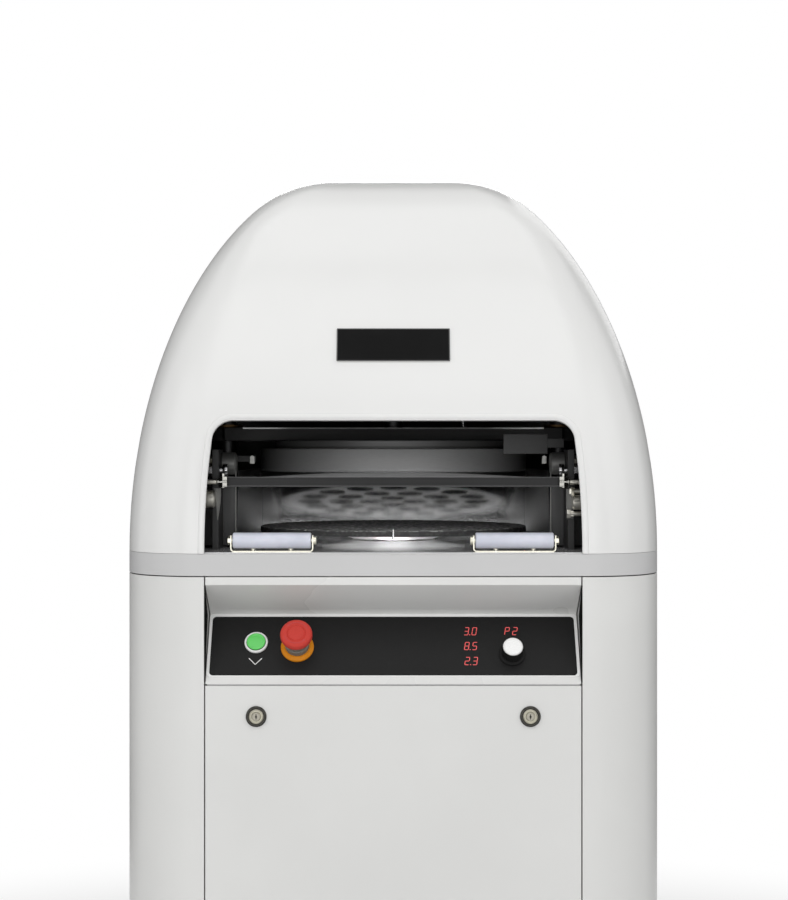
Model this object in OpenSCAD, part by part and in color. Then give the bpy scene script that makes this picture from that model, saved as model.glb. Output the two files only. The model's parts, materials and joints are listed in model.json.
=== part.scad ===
// Divider rounder: a hooded bakery press that divides dough and rounds it on an orbiting plate.
// Millimetres, +Z up, the front faces -Y, the origin is on the floor below the middle of the body.

/* [Body] */
// Room between the pressing drum and each side of the body
side_room = 151; // [146:1:166]
// Depth from the front door to the rear cover
body_d = 700; // [690:1:760]
// Plan radius of the four upright corners
corner_r = 100; // [90:1:102]
// Height of the table above the floor
table_z = 930; // [900:1:960]
// Height of the grey band round the table
band_h = 27.5; // [24:0.5:34]
// Height of the base plate's underside above the floor
base_z = 80; // [74:1:96]

/* [Hood] */
// Height of the hood above the table
hood_h = 510; // [495:1:560]
// Wall of the moulded hood
hood_wall = 4; // [3:0.5:5]
// Depth of the hood behind the line that its sections shrink towards
hood_rear_reach = 250; // [220:1:290]
// Flat strip of the hood's front between the loading opening and the rounded corner
opening_flat = 8; // [6:1:20]
// Height of the loading opening above the table
opening_h = 165; // [158:1:190]
// Radius of the opening's upper corners
opening_r = 22; // [16:1:30]
// Width of the bare plate on the hood's front
badge_w = 144; // [120:1:160]
// Height of the bare plate on the hood's front
badge_h = 46; // [36:1:52]

/* [Covers and door] */
// Sheet thickness of covers and door
cover_t = 2; // [1.5:0.1:2.5]
// Gap at the seams between covers, door and fascia
seam_gap = 1.5; // [1:0.1:2.5]
// Height of the upright lip at the top of the fascia
lip_h = 9.8; // [7:0.1:13]
// Height of the down-facing slope under the lip
soffit_h = 41; // [34:1:48]
// Height of the sloping control panel
panel_rise = 82; // [78:1:92]
// Depth of the control recess behind the door's face
recess_depth = 60; // [52:1:66]
// Height of the door's lower edge above the floor
door_low = 60; // [54:1:66]
// Diameter of the door locks' rosettes
lock_d = 26; // [22:1:32]

/* [Controls] */
// Diameter of the start button's ring
start_d = 29; // [27:0.5:32]
// Diameter of the emergency stop's head
stop_d = 40; // [36:1:44]
// Height of the emergency stop's head above the panel
stop_h = 42; // [38:1:46]
// Diameter of the white knob
knob_d = 26; // [22:1:30]
// Diameter of the black skirt under the knob
skirt_d = 33; // [31:1:38]

/* [Dough head and rounding table] */
// Diameter of the pressing drum and of the rounding plate
drum_d = 380; // [370:1:386]
// Height of the drum's side
drum_h = 33; // [28:1:40]
// Open height between the rounding plate and the dividing ring
head_gap = 61; // [58:1:70]
// Stroke of the head on its columns
head_stroke = 38; // [30:1:40]
// Stroke of the press plate, which is also the dividing ring's height
press_stroke = 16; // [14:1:18]
// Radius of the orbit
orbit_r = 12; // [8:0.5:12]
// Diameter of the guide columns
column_d = 28; // [24:1:32]
// Diameter of the two front rollers
roller_d = 20; // [18:0.5:22]
// Length of the two front rollers
roller_len = 98; // [90:1:104]

/* [Hidden] */
$fn = 64;

// Clearances and the overrun of every cut
over = 1;
run_gap = 0.05;
side_gap = 0.3;
hole_gap = 0.5;

// Plan of the body
body_w = drum_d + 2 * side_room;
half_w = body_w / 2;
half_d = body_d / 2;
seam_inset = 7;
seam_x = half_w - corner_r - seam_inset;
panel_half = seam_x - seam_gap / 2;
cover_edge = seam_x + seam_gap / 2;
band_z = table_z - band_h;
under_gap = 1.2;
cover_top = band_z - under_gap;

// Hood: sections shrink by k towards the line x = 0, y = hood_centre
hood_gap = 0.3;
hood_z = table_z + hood_gap;
hood_centre = half_d - hood_rear_reach;
hood_front_reach = body_d - hood_rear_reach;
ellipse_share = 1.084;
shoulder_share = 0.865;
crown_share = 0.258;
hood_b = hood_h * ellipse_share;
shoulder_h = hood_h * shoulder_share;
shoulder_k = ellipse_k(shoulder_h);
shoulder_slope = shoulder_h / (hood_b * hood_b * shoulder_k);
knee_k = shoulder_k - (hood_h - shoulder_h) * shoulder_slope;
opening_half = half_w - corner_r - opening_flat;

// Base, side plates and feet
base_t = 8;
base_top = base_z + base_t;
side_t = 8;
side_set = 6;
side_front = -half_d + recess_depth + side_set;
rear_room = 22;
side_rear = half_d - rear_room;
foot_r = 32;
foot_t = 14;
foot_stem_r = 8;
foot_nut_r = 15;
foot_nut_t = 12;
foot_inset_x = 40;
foot_inset_y = 45;

// Table sheet and splash walls
rounding_d = drum_d;
sheet_t = 1.5;
sheet_z = table_z + sheet_t;
sheet_gap = 2;
sheet_inset = hood_wall + sheet_gap;
splash_t = 1.5;
splash_room = 3;
splash_half = rounding_d / 2 + orbit_r + splash_room;
splash_h = 100;
splash_set = 116;
splash_front = splash_set - half_d;
splash_lean = 5;
splash_shift = splash_h * tan(splash_lean);
splash_slope = 40;
splash_rear_room = 7;
splash_back_y = rounding_d / 2 + 2 * orbit_r + splash_rear_room;

// Orbit drive: the crank axis lies behind the plate's centre by the orbit's radius
dish_gap = 1;
dish_z = sheet_z + dish_gap;
dish_h = 10.5;
dish_low_r = 60;
dish_top_r = 104;
dish_pocket_r = 46;
dish_roof = 3;
rounding_z = dish_z + dish_h;
rounding_t = 8;
rounding_top = rounding_z + rounding_t;
web_t = 5;
web_gap = 1.5;
web_z = sheet_z + web_gap;
web_r = 30;
idler_web_r = 24;
pin_r = 12;
idler_pin_r = 8;
idler_pin_gap = 0.35;
pin_roof = 2.3;
pin_top = rounding_top - pin_roof;
pin_end_gap = 0.3;
idler_room = 31;
idler_x = dish_top_r + idler_room;
shaft_r = 15;
idler_shaft_r = 10;
bearing_r = 34;
bearing_h = 40;
bearing_flange_r = 44;
bearing_flange_t = 10;
bearing_z = band_z - bearing_h;

// Belt drive
pulley_r = 80;
pulley_t = 20;
pulley_drop = 48;
pulley_z = bearing_z - pulley_drop;
motor_pulley_r = 35;
belt_span = 190;
motor_y = orbit_r + belt_span;
motor_shaft_r = 10;
motor_r = 65;
motor_h = 200;
motor_plate = 170;
motor_plate_t = 10;
motor_post_r = 8;
motor_post_in = 75;
motor_drop = 30;
motor_plate_z = pulley_z - motor_drop;
belt_t = 4;
belt_w = 14;

// Hydraulic unit
tank_w = 260;
tank_d = 220;
tank_h = 180;
pump_r = 60;
pump_h = 190;
pipe_r = 6;
pipe_x = 110;
pipe_room = 18;
pipe_y = splash_back_y + splash_t + splash_shift + pipe_room;
pipe_up = 60;
pipe_low_z = base_top + tank_h + pipe_up;
pipe_rise = 13;

// Dough head
ring_z = rounding_top + head_gap;
ring_h = press_stroke;
ring_wall = 8;
drum_z = ring_z + ring_h;
drum_edge_r = 5;
flange_r = 168;
flange_h = 11;
flange_groove = 2;
cross_z = drum_z + drum_h + flange_h;
cross_h = 19;
cross_top = cross_z + cross_h;
cross_half_d = 45;
column_r = column_d / 2;
column_eye_r = 32;
bush_wall = 6;
bush_rim = 3;
bush_rim_t = 4;
press_t = 10;
press_low = 2;
press_gap = 0.6;
press_stem_r = 12;
press_stem_gap = 2;
press_stem_h = cross_z - ring_z - press_low - press_t - press_stem_gap;
cell_r = 22;
cell_depth = 6;
cell_counts = [4, 10, 16];
cell_ring_shares = [0.2, 0.485, 0.78];
bridge_drop = 205.3;
bridge_z = hood_z + hood_h - bridge_drop;
bridge_t = 20;
bridge_end = 6;
bridge_reach = half_w * ellipse_k(bridge_z + bridge_t - hood_z) - hood_wall;
column_x = (splash_half + splash_t + bridge_reach) / 2;
bridge_half_d = 40;
column_end = 6;
cylinder_r = 42;
cylinder_bore = 30;
cylinder_cap = 8;
cushion = 50;
rod_r = 14;
piston_t = 20;
piston_drop = 6;
cylinder_len = 2 * cylinder_cap + piston_drop + piston_t + head_stroke + cushion;
cylinder_z = bridge_z + bridge_t;
cylinder_top = cylinder_z + cylinder_len;
piston_top = cylinder_top - cylinder_cap - piston_drop;
pipe_high_z = cylinder_z + pipe_rise;

// Guard bar under the hood's front edge
guard_set = 64;
guard_y = guard_set - half_d;
guard_low = ring_z;
guard_h = 18;
guard_t = 2;
guard_lip = 16;
guard_inset = 13;
guard_half = opening_half - guard_inset;
guard_arm_t = 3;
guard_arm = 26;
guard_axis_y = guard_y + guard_arm;
guard_rise = 21;
guard_axis_z = guard_low + guard_rise;
guard_eye_r = 8;
guard_pin_r = 4;
cheek_t = 8;
cheek_gap = 4;
cheek_x = guard_half + cheek_gap;
cheek_set = 10;
cheek_front = guard_y + cheek_set;
cheek_d = 60;
cheek_h = 128;
nut_r = 8;
nut_t = 6;

// Front rollers
roller_r = roller_d / 2;
roller_inset = 81;
roller_x = opening_half - roller_inset;
roller_set = 25;
roller_y = roller_set - half_d;
roller_lift = 4;
roller_z = sheet_z + roller_lift + roller_r;
roller_axle_r = 3;
ear_t = 2;
ear_w = 16;
ear_top = 6.5;
ear_gap = 0.5;
ear_in = roller_len / 2 + ear_gap;
axle_head_r = 5.5;
axle_head_t = 4;
screw_r = 2.5;
screw_head_r = 4.5;
screw_head_t = 1.2;
screw_place_share = 0.37;

// Fascia: outline of the bent sheet, seen from the side
fascia_t = 3;
front_y = -half_d;
fascia_top = cover_top;
lip_low = fascia_top - lip_h;
valley_z = lip_low - soffit_h;
fascia_low = valley_z - panel_rise;
valley_y = front_y + recess_depth;
tab_y = 12;
tab_d = 8;
panel_len = norm([recess_depth, panel_rise]);
panel_tilt = atan2(panel_rise, recess_depth);
overlay_t = 1;
overlay_side = 4;
overlay_top = 5;
overlay_low = 12;
overlay_r = 5;

// Controls, with x across and v down the sloping panel from the recess's deepest line
start_inset = 60.75;
start_x = start_inset - panel_half;
start_v = 45;
stop_inset = 112.25;
stop_x = stop_inset - panel_half;
stop_v = 50;
knob_inset = 84.25;
knob_x = panel_half - knob_inset;
knob_v = 60;
tube_r = 11;
tube_len = 26;
stem_r = 8;
start_rim = 2.4;
start_rim_h = 5;
start_floor = 1;
start_cap_r = start_d / 2 - start_rim - side_gap;
start_cap_h = 3;
start_stroke = 3.5;
collar_lip = 0.5;
collar_r = stop_d / 2 + collar_lip;
collar_neck_r = 14;
collar_h = 11;
stop_stroke = 5;
stop_head_h = 17;
stop_edge_r = 5;
stop_neck_r = 11;
skirt_lift = 0.3;
skirt_h = 7;
knob_h = 13;
knob_edge_r = 3;
knob_stroke = 1.5;
boss_r = 5;
boss_h = 8;
encoder_r = 3;
bush_r = 5;
block_w = 30;
block_h = 32;
encoder_h = 14;
encoder_w = 22;
encoder_drop = 12;
display_w = 18.5;
display_h = 15;
display_depth = 8;
display_inset = 135.25;
display_v = 26;
display_step = 21;
display_x = panel_half - display_inset;
display_places = concat([for (i = [0 : 2]) [display_x, display_v + i * display_step]], [[knob_x, display_v]]);

// Door, its locks and its hinges
door_gap = 2;
door_top = fascia_low - door_gap;
door_return = 18;
lock_inset = 63.25;
lock_x = panel_half - lock_inset;
lock_drop = 38;
lock_z = door_top - lock_drop;
rosette_t = 4;
barrel_r = 9;
barrel_len = 16;
core_r = 5;
core_set = 1;
cam_l = 45;
cam_w = 14;
cam_t = 3;
rail_set = 28;
rail_front = front_y + rail_set;
rail_t = 4;
rail_gap = 2;
rail_low = lock_z + cam_w / 2 + rail_gap;
rail_h = 26;
cam_gap = 2;
cam_y = rail_front + rail_t + cam_gap;
hinge_inset = 53.25;
hinge_x = panel_half - hinge_inset;
hinge_w = 24;
hinge_set = 11;
hinge_axis_y = front_y + hinge_set;
hinge_up = 15;
hinge_axis_z = door_low + hinge_up;
hinge_eye_r = 8;
hinge_pin_r = 4;
hinge_tab_w = 10;

// Steps of the hood's surface, its plate and its hinges
side_steps = 4;
round_steps = 5;
dome_steps = 12;
crown_steps = 7;
corner_steps = 8;
fill_count = 3;
badge_t = 2;
badge_up = 262;
badge_gap = 0.3;
leaf_w = 60;
leaf_h = 22;
leaf_t = 2;
leaf_x = 150;
leaf_step = 5;
knuckle_r = 6;
knuckle_pin_r = 3;
knuckle_out = 7.2;
knuckle_y = half_d + knuckle_out;
knuckle_z = table_z + hood_gap / 2;
knuckle_share = 0.34;

// Rear cover and cable gland
gland_x = 150;
gland_up = 132;
gland_z = base_top + gland_up;
gland_r = 12;
gland_nut_r = 16;
gland_nut_t = 8;
gland_len = 8;
gland_bore = 6;

// Plain helper shapes
module box_between(low, high) {
    translate(low) cube(high - low);
}

module rod_x(r, x0, x1) {
    translate([x0, 0, 0]) rotate([0, 90, 0]) cylinder(r = r, h = x1 - x0);
}

module rod_y(r, y0, y1) {
    translate([0, y0, 0]) rotate([-90, 0, 0]) cylinder(r = r, h = y1 - y0);
}

module rod_z(r, z0, z1) {
    translate([0, 0, z0]) cylinder(r = r, h = z1 - z0);
}

module both_sides() {
    children();
    mirror([1, 0, 0]) children();
}

module rounded_rect(w, d, r) {
    square([w - 2 * r, d], center = true);
    square([w, d - 2 * r], center = true);
    for (sx = [-1, 1], sy = [-1, 1])
        translate([sx * (w / 2 - r), sy * (d / 2 - r)]) circle(r);
}

// Extrudes an outline of [y, z] points along X
module along_x(x0, x1, outline) {
    translate([x0, 0, 0]) rotate([90, 0, 90]) linear_extrude(x1 - x0) polygon(outline);
}

// Places children on the sloping panel: local Z stands off the sheet, local Y runs up the slope
module on_panel(x, v) {
    y = valley_y - v * recess_depth / panel_len;
    z = valley_z - v * panel_rise / panel_len;
    translate([x, y, z]) rotate([panel_tilt, 0, 0]) children();
}

// Base and carcass
module base_plate() {
    color("#5c6064")
        box_between([-cover_edge, -side_rear, base_z], [cover_edge, side_rear, base_top]);
}

module levelling_foot() {
    rod_z(foot_r, 0, foot_t);
    rod_z(foot_stem_r, foot_t, base_z);
    translate([0, 0, base_z - foot_nut_t]) cylinder(r = foot_nut_r, h = foot_nut_t, $fn = 6);
}

module levelling_feet() {
    foot_x = cover_edge - foot_inset_x;
    foot_y = side_rear - foot_inset_y;
    color("#3a3c3e")
        for (sx = [-1, 1], sy = [-1, 1])
            translate([sx * foot_x, sy * foot_y, 0]) levelling_foot();
}

module side_plates() {
    color("#6a6e72") both_sides()
        box_between([cover_edge - side_t, side_front, base_top], [cover_edge, side_rear, band_z]);
}

// Cross rail that the door's cams turn behind, with its ends bent back to the side plates
module front_rail() {
    rail_half = cover_edge - side_t;
    color("#6a6e72") {
        box_between([-rail_half, rail_front, rail_low], [rail_half, rail_front + rail_t, rail_low + rail_h]);
        both_sides()
            box_between([rail_half - rail_t, rail_front, rail_low],
                [rail_half, side_front + side_t, rail_low + rail_h]);
    }
}

// Table
module shaft_places() {
    translate([0, orbit_r, 0]) children(0);
    both_sides() translate([idler_x, orbit_r, 0]) children(1);
}

module table_casting() {
    color("#cbcbcb") difference() {
        translate([0, 0, band_z]) linear_extrude(band_h) rounded_rect(body_w, body_d, corner_r);
        shaft_places() {
            rod_z(shaft_r + hole_gap, band_z - over, table_z + over);
            rod_z(idler_shaft_r + hole_gap, band_z - over, table_z + over);
        }
        both_sides() translate([column_x, 0, 0]) rod_z(column_r, band_z - over, table_z + over);
        translate([pipe_x, pipe_y, 0]) rod_z(pipe_r + hole_gap, band_z - over, table_z + over);
    }
}

module table_sheet() {
    color("#d5d8da") difference() {
        translate([0, 0, table_z]) linear_extrude(sheet_t)
            rounded_rect(body_w - 2 * sheet_inset, body_d - 2 * sheet_inset, corner_r - sheet_inset);
        shaft_places() {
            rod_z(shaft_r + hole_gap, table_z - over, sheet_z + over);
            rod_z(idler_shaft_r + hole_gap, table_z - over, sheet_z + over);
        }
        both_sides() translate([column_x, 0, 0]) rod_z(column_r, table_z - over, sheet_z + over);
        translate([pipe_x, pipe_y, 0]) rod_z(pipe_r + hole_gap, table_z - over, sheet_z + over);
    }
}

// Back wall leans away from the dough, so that flour slides down it
module splash_back() {
    color("#c9cdd0") along_x(-splash_half, splash_half, [
        [splash_back_y, sheet_z], [splash_back_y + splash_t, sheet_z],
        [splash_back_y + splash_t + splash_shift, sheet_z + splash_h],
        [splash_back_y + splash_shift, sheet_z + splash_h],
    ]);
}

module splash_sides() {
    color("#c9cdd0") both_sides()
        along_x(splash_half, splash_half + splash_t, [
            [splash_front, sheet_z], [splash_back_y + splash_t, sheet_z],
            [splash_back_y + splash_t + splash_shift, sheet_z + splash_h],
            [splash_front + splash_slope, sheet_z + splash_h],
        ]);
}

// Press frame
module guide_columns() {
    color("#3c3f42") both_sides()
        translate([column_x, 0, 0]) rod_z(column_r, band_z, bridge_z + bridge_t + column_end);
}

module top_bridge() {
    bridge_half = column_x + column_r + bridge_end;
    color("#4a4d50") difference() {
        box_between([-bridge_half, -bridge_half_d, bridge_z],
            [bridge_half, bridge_half_d, bridge_z + bridge_t]);
        both_sides() translate([column_x, 0, 0]) rod_z(column_r, bridge_z - over, bridge_z + bridge_t + over);
        rod_z(rod_r + hole_gap, bridge_z - over, bridge_z + bridge_t + over);
    }
}

module press_cylinder() {
    color("#7d8287") difference() {
        rod_z(cylinder_r, cylinder_z, cylinder_top);
        rod_z(cylinder_bore, cylinder_z + cylinder_cap, cylinder_top - cylinder_cap);
        rod_z(rod_r + run_gap, cylinder_z - over, cylinder_z + cylinder_cap + over);
    }
}

module piston_rod() {
    color("#c2c5c8") {
        rod_z(rod_r, cross_top, piston_top - piston_t);
        rod_z(cylinder_bore - run_gap, piston_top - piston_t, piston_top);
    }
}

// Pipe from the pump up behind the splash wall and forward to the cylinder
module pipe_branch(z) {
    translate([0, 0, z]) rod_x(pipe_r, 0, pipe_x);
    translate([pipe_x, 0, z]) sphere(pipe_r);
    translate([pipe_x, 0, z]) rod_y(pipe_r, 0, pipe_y);
    translate([pipe_x, pipe_y, z]) sphere(pipe_r);
}

module pressure_pipe() {
    color("#55595d") difference() {
        union() {
            pipe_branch(pipe_low_z);
            pipe_branch(pipe_high_z);
            translate([pipe_x, pipe_y, 0]) rod_z(pipe_r, pipe_low_z, pipe_high_z);
        }
        rod_z(pump_r, pipe_low_z - pump_r, pipe_low_z + pump_r);
        rod_z(cylinder_r, pipe_high_z - cylinder_r, pipe_high_z + cylinder_r);
    }
}

module pump_unit() {
    color("#3f5a72") {
        box_between([-tank_w / 2, -tank_d / 2, base_top], [tank_w / 2, tank_d / 2, base_top + tank_h]);
        rod_z(pump_r, base_top + tank_h, base_top + tank_h + pump_h);
    }
}

// Orbit drive
module drive_motor() {
    color("#45484b") translate([0, motor_y, 0]) {
        difference() {
            union() {
                rod_z(motor_r, motor_plate_z - motor_h, motor_plate_z);
                translate([0, 0, motor_plate_z]) linear_extrude(motor_plate_t)
                    square(motor_plate, center = true);
            }
            rod_z(motor_shaft_r + run_gap, motor_plate_z - motor_h / 2, motor_plate_z + motor_plate_t + over);
        }
        for (sx = [-1, 1], sy = [-1, 1])
            translate([sx * motor_post_in, sy * motor_post_in, 0])
                rod_z(motor_post_r, motor_plate_z + motor_plate_t, band_z);
    }
}

module motor_pulley() {
    color("#8b8f93") translate([0, motor_y, 0]) {
        rod_z(motor_shaft_r, motor_plate_z - motor_h / 2 + over, pulley_z);
        rod_z(motor_pulley_r, pulley_z, pulley_z + pulley_t);
    }
}

module belt_outline(grow) {
    hull() {
        translate([0, orbit_r]) circle(pulley_r + side_gap + grow);
        translate([0, motor_y]) circle(motor_pulley_r + side_gap + grow);
    }
}

module drive_belt() {
    color("#202122") translate([0, 0, pulley_z + (pulley_t - belt_w) / 2]) linear_extrude(belt_w)
        difference() {
            belt_outline(belt_t);
            belt_outline(0);
        }
}

module drive_pulley() {
    color("#8b8f93") difference() {
        translate([0, orbit_r, 0]) rod_z(pulley_r, pulley_z, pulley_z + pulley_t);
        translate([0, orbit_r, 0]) rod_z(shaft_r, pulley_z - over, pulley_z + pulley_t + over);
    }
}

module shaft_bearing(bore) {
    difference() {
        union() {
            rod_z(bearing_r, bearing_z, band_z);
            rod_z(bearing_flange_r, band_z - bearing_flange_t, band_z);
        }
        rod_z(bore + run_gap, bearing_z - over, band_z + over);
    }
}

module shaft_bearings() {
    color("#6f7478") shaft_places() {
        shaft_bearing(shaft_r);
        shaft_bearing(idler_shaft_r);
    }
}

// Shaft, web and the pin that stands off the axis by the orbit's radius
module crank(r_shaft, r_web, r_pin, low) {
    translate([0, orbit_r, 0]) {
        rod_z(r_shaft, low, web_z);
        rod_z(r_web, web_z, web_z + web_t);
    }
    rod_z(r_pin, web_z + web_t, pin_top - pin_end_gap);
}

module main_crank() {
    color("#9a9ea2") crank(shaft_r, web_r, pin_r, pulley_z);
}

module idler_crank_right() {
    color("#9a9ea2") translate([idler_x, 0, 0])
        crank(idler_shaft_r, idler_web_r, idler_pin_r, bearing_z);
}

module idler_crank_left() {
    color("#9a9ea2") translate([-idler_x, 0, 0])
        crank(idler_shaft_r, idler_web_r, idler_pin_r, bearing_z);
}

module hub_dish() {
    color("#d9dcde") difference() {
        translate([0, 0, dish_z]) cylinder(r1 = dish_low_r, r2 = dish_top_r, h = dish_h);
        rod_z(dish_pocket_r, dish_z - over, rounding_z - dish_roof);
        rod_z(pin_r + hole_gap, dish_z - over, rounding_z + over);
    }
}

module rounding_plate() {
    color("#2f3133") difference() {
        rod_z(rounding_d / 2, rounding_z, rounding_top);
        rod_z(pin_r + run_gap, rounding_z - over, pin_top);
        both_sides() translate([idler_x, 0, 0]) rod_z(idler_pin_r + idler_pin_gap, rounding_z - over, pin_top);
    }
}

// Dough head
module crosshead() {
    color("#2e3032") difference() {
        union() {
            box_between([-column_x, -cross_half_d, cross_z], [column_x, cross_half_d, cross_top]);
            both_sides() translate([column_x, 0, 0]) rod_z(column_eye_r, cross_z, cross_top);
        }
        both_sides() translate([column_x, 0, 0]) rod_z(column_r + bush_wall, cross_z - over, cross_top + over);
    }
}

module head_bushes() {
    color("#a98346") both_sides() translate([column_x, 0, 0]) difference() {
        union() {
            rod_z(column_r + bush_wall, cross_z, cross_top);
            rod_z(column_r + bush_wall + bush_rim, cross_top, cross_top + bush_rim_t);
        }
        rod_z(column_r + run_gap, cross_z - over, cross_top + bush_rim_t + over);
    }
}

module head_drum() {
    drum_r = drum_d / 2;
    color("#b4b6b8") difference() {
        union() {
            rotate_extrude() {
                translate([0, drum_z]) square([drum_r - drum_edge_r, drum_h]);
                translate([0, drum_z + drum_edge_r]) square([drum_r, drum_h - drum_edge_r]);
                translate([drum_r - drum_edge_r, drum_z + drum_edge_r]) circle(drum_edge_r);
            }
            rod_z(flange_r, drum_z + drum_h, cross_z);
        }
        rod_z(press_stem_r + run_gap, drum_z - over, cross_z + over);
        difference() {
            rod_z(drum_d, drum_z + drum_h, drum_z + drum_h + flange_groove);
            rod_z(flange_r - flange_groove, drum_z, cross_z);
        }
    }
}

module divider_ring() {
    color("#c4c6c8") difference() {
        rod_z(drum_d / 2, ring_z, drum_z);
        rod_z(drum_d / 2 - ring_wall, ring_z - over, drum_z + over);
    }
}

module press_plate() {
    press_r = drum_d / 2 - ring_wall - press_gap;
    press_z = ring_z + press_low;
    color("#d8d8d4") difference() {
        union() {
            rod_z(press_r, press_z, press_z + press_t);
            rod_z(press_stem_r, press_z + press_t, press_z + press_t + press_stem_h);
        }
        for (ring = [0 : len(cell_counts) - 1], i = [0 : cell_counts[ring] - 1])
            rotate([0, 0, 360 * i / cell_counts[ring]])
                translate([press_r * cell_ring_shares[ring], 0, 0])
                    rod_z(cell_r, press_z - over, press_z + cell_depth);
    }
}

// Guard
module guard_cheeks() {
    color("#26282a") difference() {
        both_sides()
            box_between([cheek_x, cheek_front, sheet_z],
                [cheek_x + cheek_t, cheek_front + cheek_d, sheet_z + cheek_h]);
        translate([0, guard_axis_y, guard_axis_z]) rod_x(guard_pin_r, -half_w, half_w);
    }
}

module guard_bar() {
    color("#8e9194") {
        along_x(-guard_half, guard_half, [
            [guard_y, guard_low], [guard_y + guard_t, guard_low],
            [guard_y + guard_t, guard_low + guard_h - guard_t],
            [guard_y + guard_lip, guard_low + guard_h - guard_t], [guard_y + guard_lip, guard_low + guard_h],
            [guard_y, guard_low + guard_h],
        ]);
        both_sides() difference() {
            union() {
                box_between([guard_half - guard_arm_t, guard_y + guard_t, guard_low + guard_h],
                    [guard_half, guard_axis_y, guard_axis_z + guard_eye_r]);
                translate([0, guard_axis_y, guard_axis_z])
                    rod_x(guard_eye_r, guard_half - guard_arm_t, guard_half);
            }
            translate([0, guard_axis_y, guard_axis_z])
                rod_x(guard_pin_r + run_gap, guard_half - guard_arm_t - over, guard_half + over);
        }
    }
}

// Pivot bolts through the cheeks, with a plain head inside the arm and a nut outside the cheek
module guard_pivots() {
    head_x = guard_half - guard_arm_t - side_gap;
    color("#b9bcbf") both_sides() translate([0, guard_axis_y, guard_axis_z]) {
        rod_x(guard_pin_r, head_x, cheek_x + cheek_t);
        rod_x(guard_eye_r, head_x - guard_arm_t, head_x);
        translate([cheek_x + cheek_t, 0, 0]) rotate([0, 90, 0]) cylinder(r = nut_r, h = nut_t, $fn = 6);
    }
}

// Front rollers
module at_rollers() {
    both_sides() translate([roller_x, roller_y, 0]) children();
}

module screw_places() {
    for (s = [-1, 1])
        translate([s * roller_len * screw_place_share, 0, 0]) children();
}

module roller_brackets() {
    ear_z = roller_z + ear_top;
    color("#d3d3cf") at_rollers() difference() {
        union() {
            box_between([-ear_in - ear_t, -ear_w / 2, sheet_z], [ear_in + ear_t, ear_w / 2, sheet_z + ear_t]);
            for (s = [0, 1]) mirror([s, 0, 0])
                box_between([ear_in, -ear_w / 2, sheet_z + ear_t], [ear_in + ear_t, ear_w / 2, ear_z]);
        }
        translate([0, 0, roller_z]) rod_x(roller_axle_r, -ear_in - ear_t - over, ear_in + ear_t + over);
        screw_places() rod_z(screw_r, sheet_z - over, sheet_z + ear_t + over);
        screw_places() rod_z(screw_head_r, sheet_z + ear_t - screw_head_t, sheet_z + ear_t + over);
    }
}

module bracket_screws() {
    color("#a9acaf") at_rollers() screw_places() {
        rod_z(screw_head_r, sheet_z + ear_t - screw_head_t, sheet_z + ear_t);
        rod_z(screw_r, sheet_z, sheet_z + ear_t - screw_head_t);
    }
}

module roller_axles() {
    color("#b9bcbf") at_rollers() translate([0, 0, roller_z]) {
        rod_x(roller_axle_r, -ear_in - ear_t, ear_in + ear_t);
        rod_x(axle_head_r, -ear_in - ear_t - axle_head_t, -ear_in - ear_t);
        translate([ear_in + ear_t, 0, 0]) rotate([0, 90, 0])
            cylinder(r = axle_head_r, h = axle_head_t, $fn = 6);
    }
}

module roller() {
    translate([roller_x, roller_y, roller_z]) difference() {
        rod_x(roller_r, -roller_len / 2, roller_len / 2);
        rod_x(roller_axle_r + run_gap, -roller_len / 2 - over, roller_len / 2 + over);
    }
}

module roller_right() {
    color("#dcdce6") roller();
}

module roller_left() {
    color("#dcdce6") mirror([1, 0, 0]) roller();
}

// Covers: a rounded sheet round each side, with its edges bent back to the side plates
module side_cover() {
    cover_h = cover_top - door_low;
    flange_end = side_front + 2 * side_t;
    translate([0, 0, door_low]) linear_extrude(cover_h) difference() {
        rounded_rect(body_w, body_d, corner_r);
        rounded_rect(body_w - 2 * cover_t, body_d - 2 * cover_t, corner_r - cover_t);
        translate([cover_edge - body_w, -body_d]) square([body_w, 2 * body_d]);
    }
    box_between([cover_edge, -half_d, door_low], [cover_edge + cover_t, flange_end, cover_top]);
    box_between([cover_edge, side_rear - side_t, door_low], [cover_edge + cover_t, half_d, cover_top]);
}

module right_cover() {
    color("#dcdcda") side_cover();
}

module left_cover() {
    color("#dcdcda") mirror([1, 0, 0]) side_cover();
}

// Flat rear cover with bent sides that stand on the side plates' rear edges
module rear_cover() {
    color("#dcdcda") difference() {
        union() {
            box_between([-panel_half, half_d - cover_t, door_low], [panel_half, half_d, cover_top]);
            both_sides()
                box_between([panel_half - door_return, side_rear, base_top + cover_t],
                    [panel_half - door_return + cover_t, half_d - cover_t, cover_top - cover_t]);
            both_sides()
                box_between([panel_half - door_return, side_rear, base_top + cover_t],
                    [panel_half, side_rear + cover_t, cover_top - cover_t]);
        }
        translate([gland_x, 0, gland_z]) rod_y(gland_r, half_d - cover_t - over, half_d + over);
    }
}

module cable_gland() {
    color("#2a2b2c") translate([gland_x, 0, gland_z]) difference() {
        union() {
            rod_y(gland_r, half_d - cover_t - gland_len, half_d + gland_len);
            translate([0, half_d - cover_t, 0]) rotate([90, 0, 0])
                cylinder(r = gland_nut_r, h = gland_nut_t, $fn = 6);
        }
        rod_y(gland_bore, half_d - cover_t - gland_len - over, half_d + gland_len + over);
    }
}

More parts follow.
